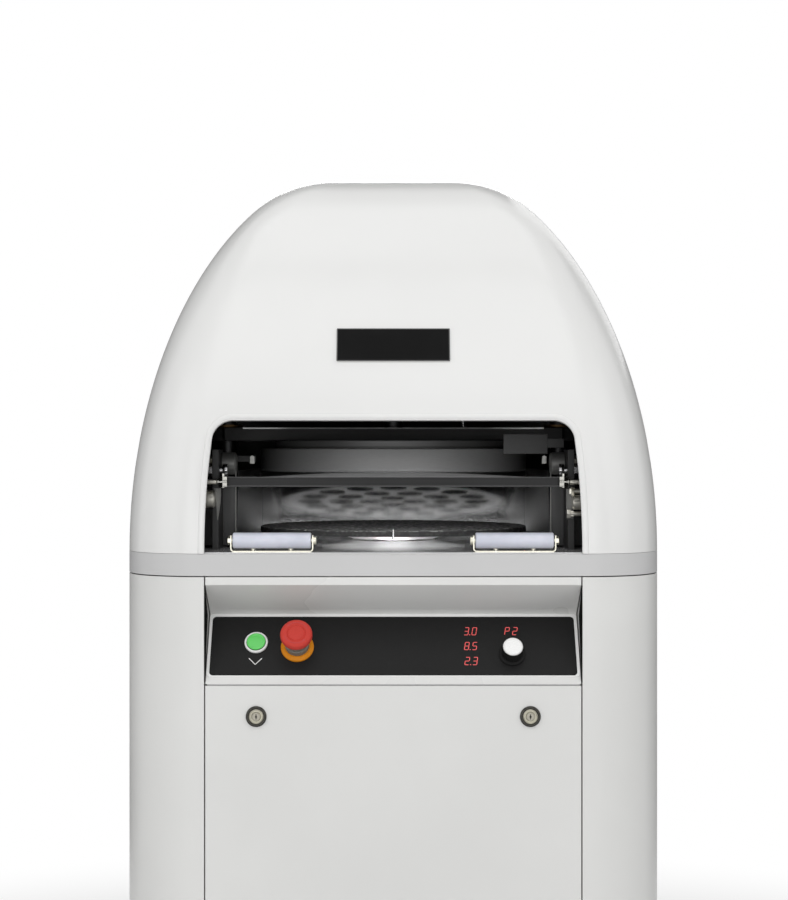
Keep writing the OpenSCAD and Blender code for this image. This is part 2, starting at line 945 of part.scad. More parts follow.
// Fascia: lip, down-facing slope and control panel bent from one sheet
module control_fascia() {
    tab_front = front_y + tab_y;
    color("#dededc") difference() {
        along_x(-panel_half, panel_half, [
            [front_y, fascia_top], [front_y, lip_low], [valley_y, valley_z], [front_y, fascia_low],
            [front_y + fascia_t, fascia_low], [valley_y + fascia_t, valley_z], [front_y + fascia_t, lip_low],
            [front_y + fascia_t, fascia_top - fascia_t], [tab_front + tab_d, fascia_top - fascia_t],
            [tab_front + tab_d, band_z], [tab_front, band_z], [tab_front, fascia_top],
        ]);
        on_panel(start_x, start_v) rod_z(tube_r, -tube_len, over);
        on_panel(stop_x, stop_v) rod_z(tube_r, -tube_len, over);
        on_panel(knob_x, knob_v) rod_z(bush_r, -tube_len, over);
        for (place = display_places)
            on_panel(place[0], place[1]) translate([0, 0, -display_depth])
                linear_extrude(display_depth + over) square([display_w, display_h], center = true);
    }
}

module panel_overlay() {
    overlay_h = panel_len - overlay_top - overlay_low;
    color("#2a2a2c") difference() {
        on_panel(0, overlay_top + overlay_h / 2)
            linear_extrude(overlay_t) rounded_rect(2 * (panel_half - overlay_side), overlay_h, overlay_r);
        on_panel(start_x, start_v) rod_z(tube_r, -over, overlay_t + over);
        on_panel(stop_x, stop_v) rod_z(tube_r, -over, overlay_t + over);
        on_panel(knob_x, knob_v) rod_z(bush_r, -over, overlay_t + over);
    }
}

module led_displays() {
    color("#7a1414") for (place = display_places)
        on_panel(place[0], place[1]) translate([0, 0, -display_depth])
            linear_extrude(display_depth) square([display_w, display_h], center = true);
}

// Contact blocks on the two buttons' tubes, and the knob's encoder with its bush through the panel
module switch_bodies() {
    color("#3c3e40") {
        for (place = [[start_x, start_v], [stop_x, stop_v]])
            on_panel(place[0], place[1]) translate([0, 0, -tube_len - block_h])
                linear_extrude(block_h) square(block_w, center = true);
        on_panel(knob_x, knob_v) difference() {
            union() {
                rod_z(bush_r, -encoder_drop, overlay_t);
                translate([0, 0, -encoder_drop - encoder_h])
                    linear_extrude(encoder_h) square(encoder_w, center = true);
            }
            rod_z(encoder_r + run_gap, -encoder_drop - encoder_h / 2, overlay_t + over);
        }
    }
}

module start_bezel() {
    floor_top = overlay_t + start_floor;
    color("#f0f0ee") on_panel(start_x, start_v) difference() {
        union() {
            rod_z(tube_r, -tube_len, overlay_t);
            rod_z(start_d / 2, overlay_t, floor_top + start_rim_h);
        }
        rod_z(start_d / 2 - start_rim, floor_top, floor_top + start_rim_h + over);
        rod_z(stem_r + run_gap, -tube_len - over, floor_top + over);
    }
}

module start_button() {
    cap_low = overlay_t + start_floor + start_stroke + side_gap;
    color("#2f9e4a") on_panel(start_x, start_v) {
        rod_z(start_cap_r, cap_low, cap_low + start_cap_h);
        rod_z(stem_r, -tube_len + start_stroke + side_gap, cap_low);
    }
}

module stop_collar() {
    color("#f0a818") on_panel(stop_x, stop_v) difference() {
        union() {
            rod_z(tube_r, -tube_len, overlay_t);
            translate([0, 0, overlay_t]) cylinder(r1 = collar_r, r2 = collar_neck_r, h = collar_h);
        }
        rod_z(stem_r + run_gap, -tube_len - over, overlay_t + collar_h + over);
    }
}

module stop_head() {
    head_low = stop_h - stop_head_h;
    color("#d8262c") on_panel(stop_x, stop_v) {
        rod_z(stem_r, -tube_len + stop_stroke + side_gap, overlay_t + collar_h + stop_stroke + side_gap);
        rod_z(stop_neck_r, overlay_t + collar_h + stop_stroke + side_gap, head_low);
        rotate_extrude() {
            translate([0, head_low]) square([stop_d / 2 - stop_edge_r, stop_head_h]);
            translate([0, head_low]) square([stop_d / 2, stop_head_h - stop_edge_r]);
            translate([stop_d / 2 - stop_edge_r, stop_h - stop_edge_r]) circle(stop_edge_r);
        }
    }
}

module knob_skirt() {
    skirt_low = overlay_t + skirt_lift;
    color("#1e1f20") on_panel(knob_x, knob_v) {
        rod_z(skirt_d / 2, skirt_low, skirt_low + skirt_h);
        rod_z(boss_r, skirt_low + skirt_h, skirt_low + skirt_h + boss_h);
        rod_z(encoder_r, -encoder_drop - encoder_h / 2 + side_gap, skirt_low);
    }
}

module knob_cap() {
    cap_low = overlay_t + skirt_lift + skirt_h + knob_stroke + side_gap;
    cap_top = cap_low + knob_h;
    color("#ecebe8") on_panel(knob_x, knob_v) difference() {
        rotate_extrude() {
            translate([0, cap_low]) square([knob_d / 2 - knob_edge_r, knob_h]);
            translate([0, cap_low]) square([knob_d / 2, knob_h - knob_edge_r]);
            translate([knob_d / 2 - knob_edge_r, cap_top - knob_edge_r]) circle(knob_edge_r);
        }
        rod_z(boss_r + run_gap, cap_low - over, cap_low + boss_h);
    }
}

// Door: a tray-shaped sheet that tips forward on two low hinges
module front_door() {
    back = front_y + door_return;
    color("#dcdcda") difference() {
        union() {
            box_between([-panel_half, front_y, door_low], [panel_half, front_y + cover_t, door_top]);
            both_sides()
                box_between([panel_half - cover_t, front_y + cover_t, door_low], [panel_half, back, door_top]);
            box_between([cover_t - panel_half, front_y + cover_t, door_top - cover_t],
                [panel_half - cover_t, back, door_top]);
            both_sides() {
                box_between([hinge_x, front_y + cover_t, hinge_axis_z - hinge_eye_r],
                    [hinge_x + hinge_w, hinge_axis_y, hinge_axis_z + hinge_eye_r]);
                translate([0, hinge_axis_y, hinge_axis_z]) rod_x(hinge_eye_r, hinge_x, hinge_x + hinge_w);
            }
        }
        both_sides() {
            translate([lock_x, 0, lock_z]) rod_y(barrel_r, front_y - over, front_y + cover_t + over);
            translate([0, hinge_axis_y, hinge_axis_z])
                rod_x(hinge_pin_r + run_gap, hinge_x - over, hinge_x + hinge_w + over);
        }
    }
}

// Fixed half of each hinge: a tab on the base plate's front edge, with the pin
module door_hinges() {
    tab_x = hinge_x - side_gap - hinge_tab_w;
    color("#6a6e72") both_sides() {
        box_between([tab_x, hinge_axis_y, hinge_axis_z - hinge_eye_r],
            [tab_x + hinge_tab_w, -side_rear, base_z + base_t]);
        translate([0, hinge_axis_y, hinge_axis_z]) {
            rod_x(hinge_eye_r, tab_x, tab_x + hinge_tab_w);
            rod_x(hinge_pin_r, tab_x + hinge_tab_w, hinge_x + hinge_w + side_gap);
        }
    }
}

module lock_barrels() {
    color("#6d7073") both_sides() translate([lock_x, 0, lock_z]) difference() {
        union() {
            rod_y(lock_d / 2, front_y - rosette_t, front_y);
            rod_y(barrel_r, front_y, front_y + barrel_len);
        }
        rod_y(core_r + run_gap, front_y - rosette_t - over, front_y + barrel_len + over);
    }
}

// Key core with the cam on its inner end, which points at the door's middle when unlocked
module lock_cam() {
    translate([lock_x, 0, lock_z]) {
        rod_y(core_r, front_y - rosette_t + core_set, cam_y + cam_t);
        translate([-cam_l, cam_y, -cam_w / 2]) cube([cam_l, cam_t, cam_w]);
    }
}

module lock_cam_right() {
    color("#b9bcbf") lock_cam();
}

module lock_cam_left() {
    color("#b9bcbf") mirror([1, 0, 0]) lock_cam();
}

// Hood: its scale k at height h, first on an ellipse, then on a curve that ends level at the crown
function ellipse_k(h) = sqrt(1 - pow(h / hood_b, 2));

function blend3(a, b, c, t) = (1 - t) * (1 - t) * a + 2 * t * (1 - t) * b + t * t * c;

// Rings as [height, scale, cut of the opening's half width]
hood_rings = concat(
    [for (i = [0 : side_steps]) let (h = (opening_h - opening_r) * i / side_steps) [h, ellipse_k(h), 0]],
    [for (i = [1 : round_steps]) let (a = 90 * i / round_steps, h = opening_h - opening_r * (1 - sin(a)))
        [h, ellipse_k(h), opening_r * (1 - cos(a))]],
    [for (i = [1 : dome_steps]) let (h = opening_h + (shoulder_h - opening_h) * i / dome_steps)
        [h, ellipse_k(h), 0]],
    [for (i = [1 : crown_steps]) let (t = i / crown_steps)
        [blend3(shoulder_h, hood_h, hood_h, t), blend3(shoulder_k, knee_k, crown_share, t), 0]]
);
ring_count = len(hood_rings);
lintel = side_steps + round_steps;
lintel_k = ellipse_k(opening_h);

function edge_x(i) = let (ring = hood_rings[i], k = ring[1])
    i <= lintel ? opening_half * k - ring[2] : (opening_half * lintel_k - opening_r) * k / lintel_k;

// Right half of a section inset by w, from the opening's edge round to the middle of the back
function half_section(i, w) = let (
        k = hood_rings[i][1],
        x = half_w * k - w,
        front = hood_centre - hood_front_reach * k + w,
        rear = hood_centre + hood_rear_reach * k - w,
        r = corner_r * k - w
    ) concat(
        [[edge_x(i), front]],
        [for (j = [0 : corner_steps]) let (a = 90 * j / corner_steps - 90)
            [x - r + r * cos(a), front + r + r * sin(a)]],
        [for (j = [0 : corner_steps]) let (a = 90 * j / corner_steps)
            [x - r + r * cos(a), rear - r + r * sin(a)]]
    );

// A whole ring of points: right half, middle of the back, left half, then across the front
function ring_points(i, w) = let (
        right = half_section(i, w),
        n = len(right),
        k = hood_rings[i][1],
        z = hood_z + hood_rings[i][0] * (hood_h - w) / hood_h,
        rear = hood_centre + hood_rear_reach * k - w,
        front = right[0][1],
        edge = right[0][0]
    ) concat(
        [for (p = right) [p[0], p[1], z]],
        [[0, rear, z]],
        [for (j = [n - 1 : -1 : 0]) [-right[j][0], right[j][1], z]],
        [for (j = [1 : fill_count]) [-edge + 2 * edge * j / (fill_count + 1), front, z]]
    );

function quad(a, b, c, d) = [[a, b, c], [a, c, d]];

half_count = 2 * (corner_steps + 1) + 1;
wall_last = 2 * half_count;
ring_size = wall_last + 1 + fill_count;
inner_start = ring_count * ring_size;
crown_point = 2 * inner_start;

function outer(i, j) = i * ring_size + j % ring_size;
function inner(i, j) = inner_start + outer(i, j);

function flat_list(lists) = [for (list = lists) for (item = list) item];

hood_points = concat(
    flat_list([for (i = [0 : ring_count - 1]) ring_points(i, 0)]),
    flat_list([for (i = [0 : ring_count - 1]) ring_points(i, hood_wall)]),
    [[0, hood_centre, hood_z + hood_h], [0, hood_centre, hood_z + hood_h - hood_wall]]
);

hood_faces = flat_list(concat(
    [for (i = [0 : ring_count - 2], j = [0 : i < lintel ? wall_last - 1 : ring_size - 1])
        quad(outer(i, j), outer(i + 1, j), outer(i + 1, j + 1), outer(i, j + 1))],
    [for (i = [0 : ring_count - 2], j = [0 : i < lintel ? wall_last - 1 : ring_size - 1])
        quad(inner(i, j), inner(i, j + 1), inner(i + 1, j + 1), inner(i + 1, j))],
    [for (j = [0 : wall_last - 1]) quad(outer(0, j), outer(0, j + 1), inner(0, j + 1), inner(0, j))],
    [for (i = [0 : lintel - 1]) quad(outer(i + 1, 0), outer(i, 0), inner(i, 0), inner(i + 1, 0))],
    [for (i = [0 : lintel - 1])
        quad(outer(i, wall_last), outer(i + 1, wall_last), inner(i + 1, wall_last), inner(i, wall_last))],
    [for (j = [wall_last : ring_size - 1])
        quad(outer(lintel, j), outer(lintel, j + 1), inner(lintel, j + 1), inner(lintel, j))],
    [for (j = [0 : ring_size - 1])
        [[crown_point, outer(ring_count - 1, j + 1), outer(ring_count - 1, j)],
         [crown_point + 1, inner(ring_count - 1, j), inner(ring_count - 1, j + 1)]]]
));

module hood_shell() {
    color("#ebebe9") polyhedron(hood_points, hood_faces);
}

// Rear hinges: the hood's leaf has the middle knuckle, the table's leaf the outer two and the pin
module hood_leaves() {
    knuckle = leaf_w * knuckle_share / 2;
    leaf_low = hood_z + leaf_step;
    color("#c2c5c8") both_sides() translate([leaf_x, 0, 0]) difference() {
        union() {
            box_between([-leaf_w / 2, half_d, leaf_low], [leaf_w / 2, half_d + leaf_t, leaf_low + leaf_h]);
            box_between([-knuckle, half_d, knuckle_z], [knuckle, knuckle_y, leaf_low + leaf_step]);
            translate([0, knuckle_y, knuckle_z]) rod_x(knuckle_r, -knuckle, knuckle);
        }
        translate([0, knuckle_y, knuckle_z]) rod_x(knuckle_pin_r + run_gap, -leaf_w, leaf_w);
    }
}

module hinge_bases() {
    knuckle = leaf_w * knuckle_share / 2 + side_gap;
    leaf_top = table_z - leaf_step;
    color("#c2c5c8") both_sides() translate([leaf_x, 0, 0]) {
        box_between([-leaf_w / 2, half_d, leaf_top - leaf_h], [leaf_w / 2, half_d + leaf_t, leaf_top]);
        translate([0, knuckle_y, knuckle_z]) rod_x(knuckle_pin_r, -knuckle, knuckle);
        for (s = [0, 1]) mirror([s, 0, 0]) {
            box_between([knuckle, half_d, leaf_top - leaf_step], [leaf_w / 2, knuckle_y, knuckle_z]);
            translate([0, knuckle_y, knuckle_z]) rod_x(knuckle_r, knuckle, leaf_w / 2);
        }
    }
}

// Bare black plate laid on the front of the hood, along its slope
module badge_plate() {
    k = ellipse_k(badge_up);
    slope = atan(hood_front_reach * badge_up / (hood_b * hood_b * k));
    color("#161617")
        translate([0, hood_centre - hood_front_reach * k, hood_z + badge_up]) rotate([90 - slope, 0, 0])
            translate([0, 0, badge_gap]) linear_extrude(badge_t) square([badge_w, badge_h], center = true);
}

base_plate();
levelling_feet();
side_plates();
front_rail();
table_casting();
table_sheet();
splash_back();
splash_sides();
guard_cheeks();
guide_columns();
top_bridge();
press_cylinder();
pressure_pipe();
pump_unit();
drive_motor();
motor_pulley();
drive_belt();
drive_pulley();
shaft_bearings();
main_crank();
idler_crank_left();
idler_crank_right();
hub_dish();
rounding_plate();
crosshead();
head_bushes();
head_drum();
divider_ring();
piston_rod();
press_plate();
guard_bar();
guard_pivots();
roller_brackets();
bracket_screws();
roller_axles();
roller_left();
roller_right();
left_cover();
right_cover();
rear_cover();
cable_gland();
control_fascia();
panel_overlay();
led_displays();
switch_bodies();
start_bezel();
start_button();
stop_collar();
stop_head();
knob_skirt();
knob_cap();
front_door();
door_hinges();
lock_barrels();
lock_cam_left();
lock_cam_right();
hood_shell();
badge_plate();
hinge_bases();
hood_leaves();
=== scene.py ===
# Looks of a divider rounder: a hooded bakery press over a rounding table, on a floor-standing cabinet.
# Metres, +Z up, the front faces -Y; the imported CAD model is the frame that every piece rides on.
import json
import math

import bmesh
import bpy
from mathutils import Matrix, Vector

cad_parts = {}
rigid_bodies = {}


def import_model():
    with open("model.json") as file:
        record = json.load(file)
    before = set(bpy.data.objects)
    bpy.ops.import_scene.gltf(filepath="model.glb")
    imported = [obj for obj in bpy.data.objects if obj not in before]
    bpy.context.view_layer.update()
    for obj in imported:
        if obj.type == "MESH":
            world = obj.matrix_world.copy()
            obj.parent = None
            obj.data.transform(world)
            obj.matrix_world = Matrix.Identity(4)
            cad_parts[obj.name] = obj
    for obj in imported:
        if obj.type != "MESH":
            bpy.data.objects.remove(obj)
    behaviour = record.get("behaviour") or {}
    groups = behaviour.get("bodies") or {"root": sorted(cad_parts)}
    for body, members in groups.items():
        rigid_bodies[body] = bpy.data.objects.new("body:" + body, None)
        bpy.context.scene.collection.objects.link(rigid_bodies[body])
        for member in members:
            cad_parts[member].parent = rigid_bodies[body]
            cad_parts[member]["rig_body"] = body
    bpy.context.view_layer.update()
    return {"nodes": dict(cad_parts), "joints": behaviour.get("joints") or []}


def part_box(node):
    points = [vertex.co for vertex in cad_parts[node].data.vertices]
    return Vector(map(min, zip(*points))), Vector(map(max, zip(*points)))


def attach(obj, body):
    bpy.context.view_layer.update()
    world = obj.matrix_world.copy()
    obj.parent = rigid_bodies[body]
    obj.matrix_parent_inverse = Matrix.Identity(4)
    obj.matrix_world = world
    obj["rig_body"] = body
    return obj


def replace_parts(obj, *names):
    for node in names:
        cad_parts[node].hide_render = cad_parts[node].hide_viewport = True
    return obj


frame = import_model()


# Carcass: base plate, side plates, cross rail and the door's hinge tabs.
# Laser-cut steel plate, welded together and primed grey, with edges broken by a file.
class Wire:
    """An output of a material's nodes; sums, differences and products of wires add Math nodes."""

    def __init__(self, tree, socket=None):
        self.tree = tree
        self.socket = socket

    def fill(self, node, sockets):
        """Fills a node's sockets with values or wires."""
        for key, value in sockets.items():
            if isinstance(value, Wire):
                self.tree.links.new(value.socket, node.inputs[key])
            else:
                node.inputs[key].default_value = value

    def node(self, kind, sockets=None, out=0, **settings):
        """Adds a node, sets it up, then fills its sockets."""
        made = self.tree.nodes.new(kind)
        for name, value in settings.items():
            setattr(made, name, value)
        self.fill(made, sockets or {})
        return Wire(self.tree, made.outputs[out])

    def maths(self, operation, first, second=0.0):
        return self.node("ShaderNodeMath", {0: first, 1: second}, operation=operation)

    def __add__(self, other):
        return self.maths("ADD", self, other)

    __radd__ = __add__

    def __sub__(self, other):
        return self.maths("SUBTRACT", self, other)

    def __rsub__(self, other):
        return self.maths("SUBTRACT", other, self)

    def __mul__(self, other):
        return self.maths("MULTIPLY", self, other)

    __rmul__ = __mul__

    def step(self, low, high):
        """0 below low, 1 above high, smooth between."""
        return self.node("ShaderNodeMapRange", {"Value": self, "From Min": low, "From Max": high},
                         interpolation_type="SMOOTHSTEP")

    def blend(self, first, second):
        """Colour that goes from first to second with this wire."""
        return self.node("ShaderNodeMix", {0: self, 6: first, 7: second}, out=2, data_type="RGBA")

    def bump(self, strength, distance):
        """Normal of a surface that this wire raises."""
        return self.node("ShaderNodeBump", {"Strength": strength, "Distance": distance, "Height": self})

    def place(self):
        """Place on the piece, in metres."""
        return self.node("ShaderNodeTexCoord", out="Object")

    def along(self, axis):
        """Place on the piece along one axis."""
        return self.node("ShaderNodeSeparateXYZ", {0: self.place()}, out=axis)

    def noise(self, scale, detail=3.0, stretch=(1.0, 1.0, 1.0)):
        """Even cloud of about 0 to 1, with cells of 1/scale metres."""
        turned = self.node("ShaderNodeMapping", {"Vector": self.place(), "Scale": stretch})
        return self.node("ShaderNodeTexNoise", {"Vector": turned, "Scale": scale, "Detail": detail})


def grey(level):
    return (level, level, level, 1.0)


def tinted(colour, share):
    """The colour at a share of its strength."""
    return tuple(share * c for c in colour[:3]) + (1.0,)


def start_material(name):
    """A material with a plain shader, and a wire that its nodes are added from."""
    made = bpy.data.materials.new(name)
    made.use_nodes = True
    return made, Wire(made.node_tree)


def fill_shader(material, sockets):
    """Sets the shader's sockets to values or links them to wires."""
    tree = material.node_tree
    Wire(tree).fill(tree.nodes["Principled BSDF"], sockets)
    return material


def powder_coat(name, colour, roughness, peel, specular=0.5):
    """Baked powder coat: orange peel of about 2 mm, with a faint drift in colour and gloss."""
    made, wire = start_material(name)
    drift = wire.noise(5.0)
    return fill_shader(made, {
        "Base Color": drift.step(0.3, 0.75).blend(tinted(colour, 0.955), colour),
        "Roughness": roughness - 0.05 + 0.1 * drift,
        "Specular IOR Level": specular,
        "Normal": wire.noise(420.0, 2.0).bump(peel, 0.0004),
    })


def as_mesh(work, outward=False, place=Matrix()):
    """Ends a bmesh and gives its mesh at a place, with the faces turned outward if asked."""
    if outward:
        bmesh.ops.recalc_face_normals(work, faces=work.faces)
    mesh = bpy.data.meshes.new("shape")
    work.to_mesh(mesh)
    work.free()
    mesh.transform(place)
    return mesh


def add_piece(name, mesh, body, finish, smooth=0.7):
    """Puts a mesh into the scene on a body, smooth up to the given angle in radians."""
    mesh.name = name
    piece = bpy.data.objects.new(name, mesh)
    bpy.context.scene.collection.objects.link(piece)
    for face in mesh.polygons:
        face.use_smooth = True
    mesh.set_sharp_from_angle(angle=smooth)
    mesh.materials.clear()
    mesh.materials.append(finish)
    flat = piece.modifiers.new("flat_faces", "WEIGHTED_NORMAL")
    flat.keep_sharp = True
    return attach(piece, body)


def softened(node, edge, finish, steps=2):
    """The CAD node's own shape with its sharp edges rounded, in the node's place."""
    flat_angle, sharp_angle = math.radians(1), math.radians(35)
    work = bmesh.new()
    work.from_mesh(frame["nodes"][node].data)
    bmesh.ops.remove_doubles(work, verts=work.verts, dist=1e-6)
    bmesh.ops.dissolve_limit(work, angle_limit=flat_angle, verts=work.verts, edges=work.edges)
    sharp = [e for e in work.edges if e.is_manifold and e.calc_face_angle() > sharp_angle]
    bmesh.ops.bevel(work, geom=sharp, offset=edge, segments=steps, profile=0.5, affect="EDGES",
                    clamp_overlap=True)
    piece = add_piece(node + "_shape", as_mesh(work), frame["nodes"][node]["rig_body"], finish)
    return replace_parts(piece, node)


primer = powder_coat("primer_grey", grey(0.24), 0.55, 0.35)
for plate in ("base_plate", "side_plates", "front_rail", "door_hinges"):
    softened(plate, 0.0008, primer)


# Levelling feet: a rubber pad under a zinc-plated threaded stem, with a hexagon nut below the base plate.
# The pad is moulded with a bevelled rim, and the stem screws into the base.
def revolve(outline, spin=48, place=Matrix()):
    """A turned mesh about Z from an outline of (radius, height) points, moved to its place."""
    work = bmesh.new()
    turns = [2 * math.pi * i / spin for i in range(spin)]
    rings = []
    for r, z in outline:
        around = turns if r > 1e-7 else [0.0]
        rings.append([work.verts.new((r * math.cos(a), r * math.sin(a), z)) for a in around])
    for low, high in zip(rings, rings[1:]):
        for i in range(spin):
            corners = [low[i % len(low)], low[(i + 1) % len(low)],
                       high[(i + 1) % len(high)], high[i % len(high)]]
            corners = [c for k, c in enumerate(corners) if c not in corners[:k]]
            if len(corners) > 2:
                work.faces.new(corners)
    return as_mesh(work, True, place)


def hexagon(radius, height, chamfer, place=Matrix()):
    """A hexagon nut or bolt head with its corners turned off, standing on its place."""
    work = bmesh.new()
    bmesh.ops.create_cone(work, cap_ends=True, segments=6, radius1=radius, radius2=radius, depth=height)
    bmesh.ops.translate(work, verts=work.verts, vec=(0, 0, height / 2))
    bmesh.ops.bevel(work, geom=work.edges[:], offset=chamfer, segments=2, profile=0.6, affect="EDGES")
    return as_mesh(work, False, place)


def joined(meshes):
    """One mesh from several."""
    work = bmesh.new()
    for mesh in meshes:
        work.from_mesh(mesh)
    return as_mesh(work)


def copies(mesh, places):
    """A copy of the mesh at each place."""
    made = [mesh.copy() for _ in places]
    for copy, place in zip(made, places):
        copy.transform(place)
    return made


def metal(name, colour, roughness, grain, stretch=(1.0, 1.0, 1.0)):
    """Bare or plated metal: tooling grain in gloss and bump, stretched along the way it was worked."""
    made, wire = start_material(name)
    lines = wire.noise(180.0, 4.0, stretch)
    cloud = wire.noise(9.0)
    return fill_shader(made, {
        "Base Color": (0.6 * lines + 0.4 * cloud).step(0.3, 0.7).blend(tinted(colour, 0.86), colour),
        "Metallic": 1.0,
        "Roughness": roughness - 0.06 + 0.08 * lines + 0.04 * cloud,
        "Normal": lines.bump(grain, 0.0002),
    })


zinc = metal("zinc_plate", (0.62, 0.62, 0.63, 1.0), 0.24, 0.08)
rubber, rubber_wire = start_material("rubber_black")
dust = rubber_wire.noise(60.0, 6.0)
fill_shader(rubber, {
    "Base Color": dust.step(0.45, 0.8).blend(grey(0.018), grey(0.045)),
    "Roughness": 0.62 + 0.2 * dust,
    "Normal": dust.bump(0.3, 0.0004),
})
foot_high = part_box("levelling_feet")[1]
pad_r, pad_h, foot_stem_r, foot_nut_r, foot_nut_h = 0.032, 0.014, 0.008, 0.015, 0.012
thread_pitch, thread_depth = 0.002, 0.0008
stem_top = foot_high.z - foot_nut_h
foot_spots = [Matrix.Translation((sx * (foot_high.x - pad_r), sy * (foot_high.y - pad_r), 0))
              for sx in (-1, 1) for sy in (-1, 1)]
pad = revolve([
    (0, 0), (pad_r - 0.002, 0), (pad_r, 0.002), (pad_r, 0.006), (pad_r - 0.003, 0.009),
    (foot_stem_r + 0.006, pad_h - 0.001), (foot_stem_r + 0.004, pad_h), (0, pad_h),
])
foot_stem = revolve([(0, pad_h)] + [
    (foot_stem_r - depth, pad_h + (i + share) * thread_pitch)
    for i in range(int((stem_top - pad_h) / thread_pitch))
    for depth, share in ((thread_depth, 0.0), (0.0, 0.4), (0.0, 0.6))
] + [(0, stem_top)], 32)
foot_nut = hexagon(foot_nut_r, foot_nut_h, 0.0008, Matrix.Translation((0, 0, stem_top)))
pads = add_piece("foot_pads", joined(copies(pad, foot_spots)), "frame", rubber)
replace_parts(pads, "levelling_feet")
add_piece("foot_stems", joined(copies(foot_stem, foot_spots)), "frame", zinc, 0.4)
add_piece("foot_nuts", joined(copies(foot_nut, foot_spots)), "frame", zinc)


# Hydraulic unit: tank with pump, pressure pipe, cylinder and the bridge that carries it on two ground columns.
# Welded tank in blue enamel, drawn steel pipe, primed bridge; all hidden by the covers and the hood.
def coat(finish, *nodes):
    """Gives CAD nodes that keep their shapes a finish of their own."""
    for node in nodes:
        mesh = frame["nodes"][node].data
        mesh.materials.clear()
        mesh.materials.append(finish)


enamel = powder_coat("enamel_blue", (0.04, 0.09, 0.16, 1.0), 0.3, 0.2)
black_coat = powder_coat("coat_black", grey(0.018), 0.42, 0.3)
oiled = metal("oiled_steel", (0.045, 0.045, 0.046, 1.0), 0.4, 0.1, (1.0, 1.0, 30.0))
softened("pump_unit", 0.003, enamel)
softened("top_bridge", 0.0015, black_coat)
coat(zinc, "pressure_pipe")
coat(primer, "press_cylinder")
coat(oiled, "guide_columns", "piston_rod")


# Orbit drive: motor, two pulleys with their belt, three bearings and three cranks under the table.
# Cast motor and bearings, turned aluminium pulleys, rubber belt, ground cranks.
turned = metal("turned_aluminium", (0.6, 0.6, 0.61, 1.0), 0.3, 0.2)
ground = metal("ground_steel", (0.5, 0.51, 0.52, 1.0), 0.2, 0.1, (1.0, 1.0, 30.0))
softened("drive_motor", 0.0015, primer)
coat(primer, "shaft_bearings")
coat(turned, "motor_pulley", "drive_pulley")
coat(rubber, "drive_belt")
coat(ground, "main_crank", "idler_crank_left", "idler_crank_right")


# Table: cast frame whose painted edge is the grey band under the hood, covered by a stainless sheet.
# The casting is machined flat and painted. The sheet lies on it inside the hood, between a leaning back
# wall and two side walls of the same steel; the side walls are painted near black as shade.
def brushed_steel(name, level, roughness, stretch):
    """Stainless sheet: fine lines along the way it was brushed, and faint cloudy stains."""
    made, wire = start_material(name)
    lines = wire.noise(500.0, 3.0, stretch)
    stains = wire.noise(14.0, 5.0)
    tint = (level, level, 1.01 * level, 1.0)
    return fill_shader(made, {
        "Base Color": (0.5 * lines + 0.5 * stains).step(0.3, 0.7).blend(grey(0.8 * level), tint),
        "Metallic": 1.0,
        "Roughness": roughness - 0.05 + 0.06 * lines + 0.06 * stains,
        "Normal": lines.bump(0.05, 0.0002),
    })


sheet_edge = 0.0004
band_paint = powder_coat("band_paint", grey(0.585), 0.4, 0.18)
table_steel = brushed_steel("table_steel", 0.75, 0.09, (0.03, 1.0, 1.0))
fill_shader(table_steel, {"Metallic": 0.35, "Specular IOR Level": 0.2})
wall_steel = brushed_steel("wall_steel", 0.82, 0.075, (0.3, 1.0, 1.0))
# The side walls' near-black steel is painted shade.
shaded_side_steel = brushed_steel("shaded_side_steel", 0.09, 0.4, (1.0, 0.1, 1.0))
softened("table_casting", 0.0012, band_paint)
softened("table_sheet", sheet_edge, table_steel)
back_wall = softened("splash_back", sheet_edge, wall_steel)
back_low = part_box("splash_back")[0]
foot_line = Matrix.Translation((0, back_low.y, back_low.z))
back_lean = Matrix.Rotation(math.radians(-0.4), 4, "X")
back_wall.data.transform(foot_line @ back_lean @ foot_line.inverted())
softened("splash_sides", sheet_edge, shaded_side_steel)


# Rounding plate: a dark coated disc that orbits on its cranks, with flour and dough worked into the coat.
# Below it sits the hub, a shallow satin dish that covers the main crank; a pin marks the front of its rim.
plate_low, plate_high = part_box("rounding_plate")
worn, worn_wire = start_material("worn_dark_coat")
pits = worn_wire.node("ShaderNodeTexVoronoi", {"Vector": worn_wire.place(), "Scale": 170.0})
crumbs = (0.55 * worn_wire.noise(80.0, 5.0) + 0.5 * pits).step(0.44, 0.56)
crumbed_top_vs_shaded_rim = worn_wire.along("Z").step(plate_high.z - 0.0014, plate_high.z - 0.0004)
# The rim and underside are near black with no crumbs: painted shade. The flour crumbs lie on the top only.
fill_shader(worn, {
    "Base Color": crumbed_top_vs_shaded_rim.blend(grey(0.012), crumbs.blend((0.16, 0.16, 0.155, 1.0), grey(0.045))),
    "Roughness": 0.55 + 0.25 * crumbs,
    "Normal": (crumbs * crumbed_top_vs_shaded_rim).bump(0.5, 0.002),
})
softened("rounding_plate", 0.0014, worn, 3)
satin, satin_wire = start_material("cone_satin")
satin_rings = satin_wire.noise(260.0, 2.0, (1.0, 1.0, 4.0))
fill_shader(satin, {
    "Base Color": satin_rings.step(0.3, 0.7).blend(grey(0.82), grey(0.9)),
    "Metallic": 0.1,
    "Roughness": 0.3 + 0.1 * satin_rings,
})
dish_low, dish_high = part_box("hub_dish")
dish_foot_r, dish_top_r, dish_bore_r, dish_edge = 0.06, 0.103, 0.0465, 0.0008
dish = revolve([
    (dish_bore_r, dish_low.z), (dish_foot_r - dish_edge, dish_low.z), (dish_foot_r, dish_low.z + dish_edge),
    (dish_top_r, dish_high.z), (dish_bore_r, dish_high.z), (dish_bore_r, dish_low.z),
], 96)
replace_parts(add_piece("hub_cone", dish, "rounding", satin), "hub_dish")
pin_r, pin_foot, pin_top = 0.0017, plate_low.z - 0.003, plate_high.z + 0.0028
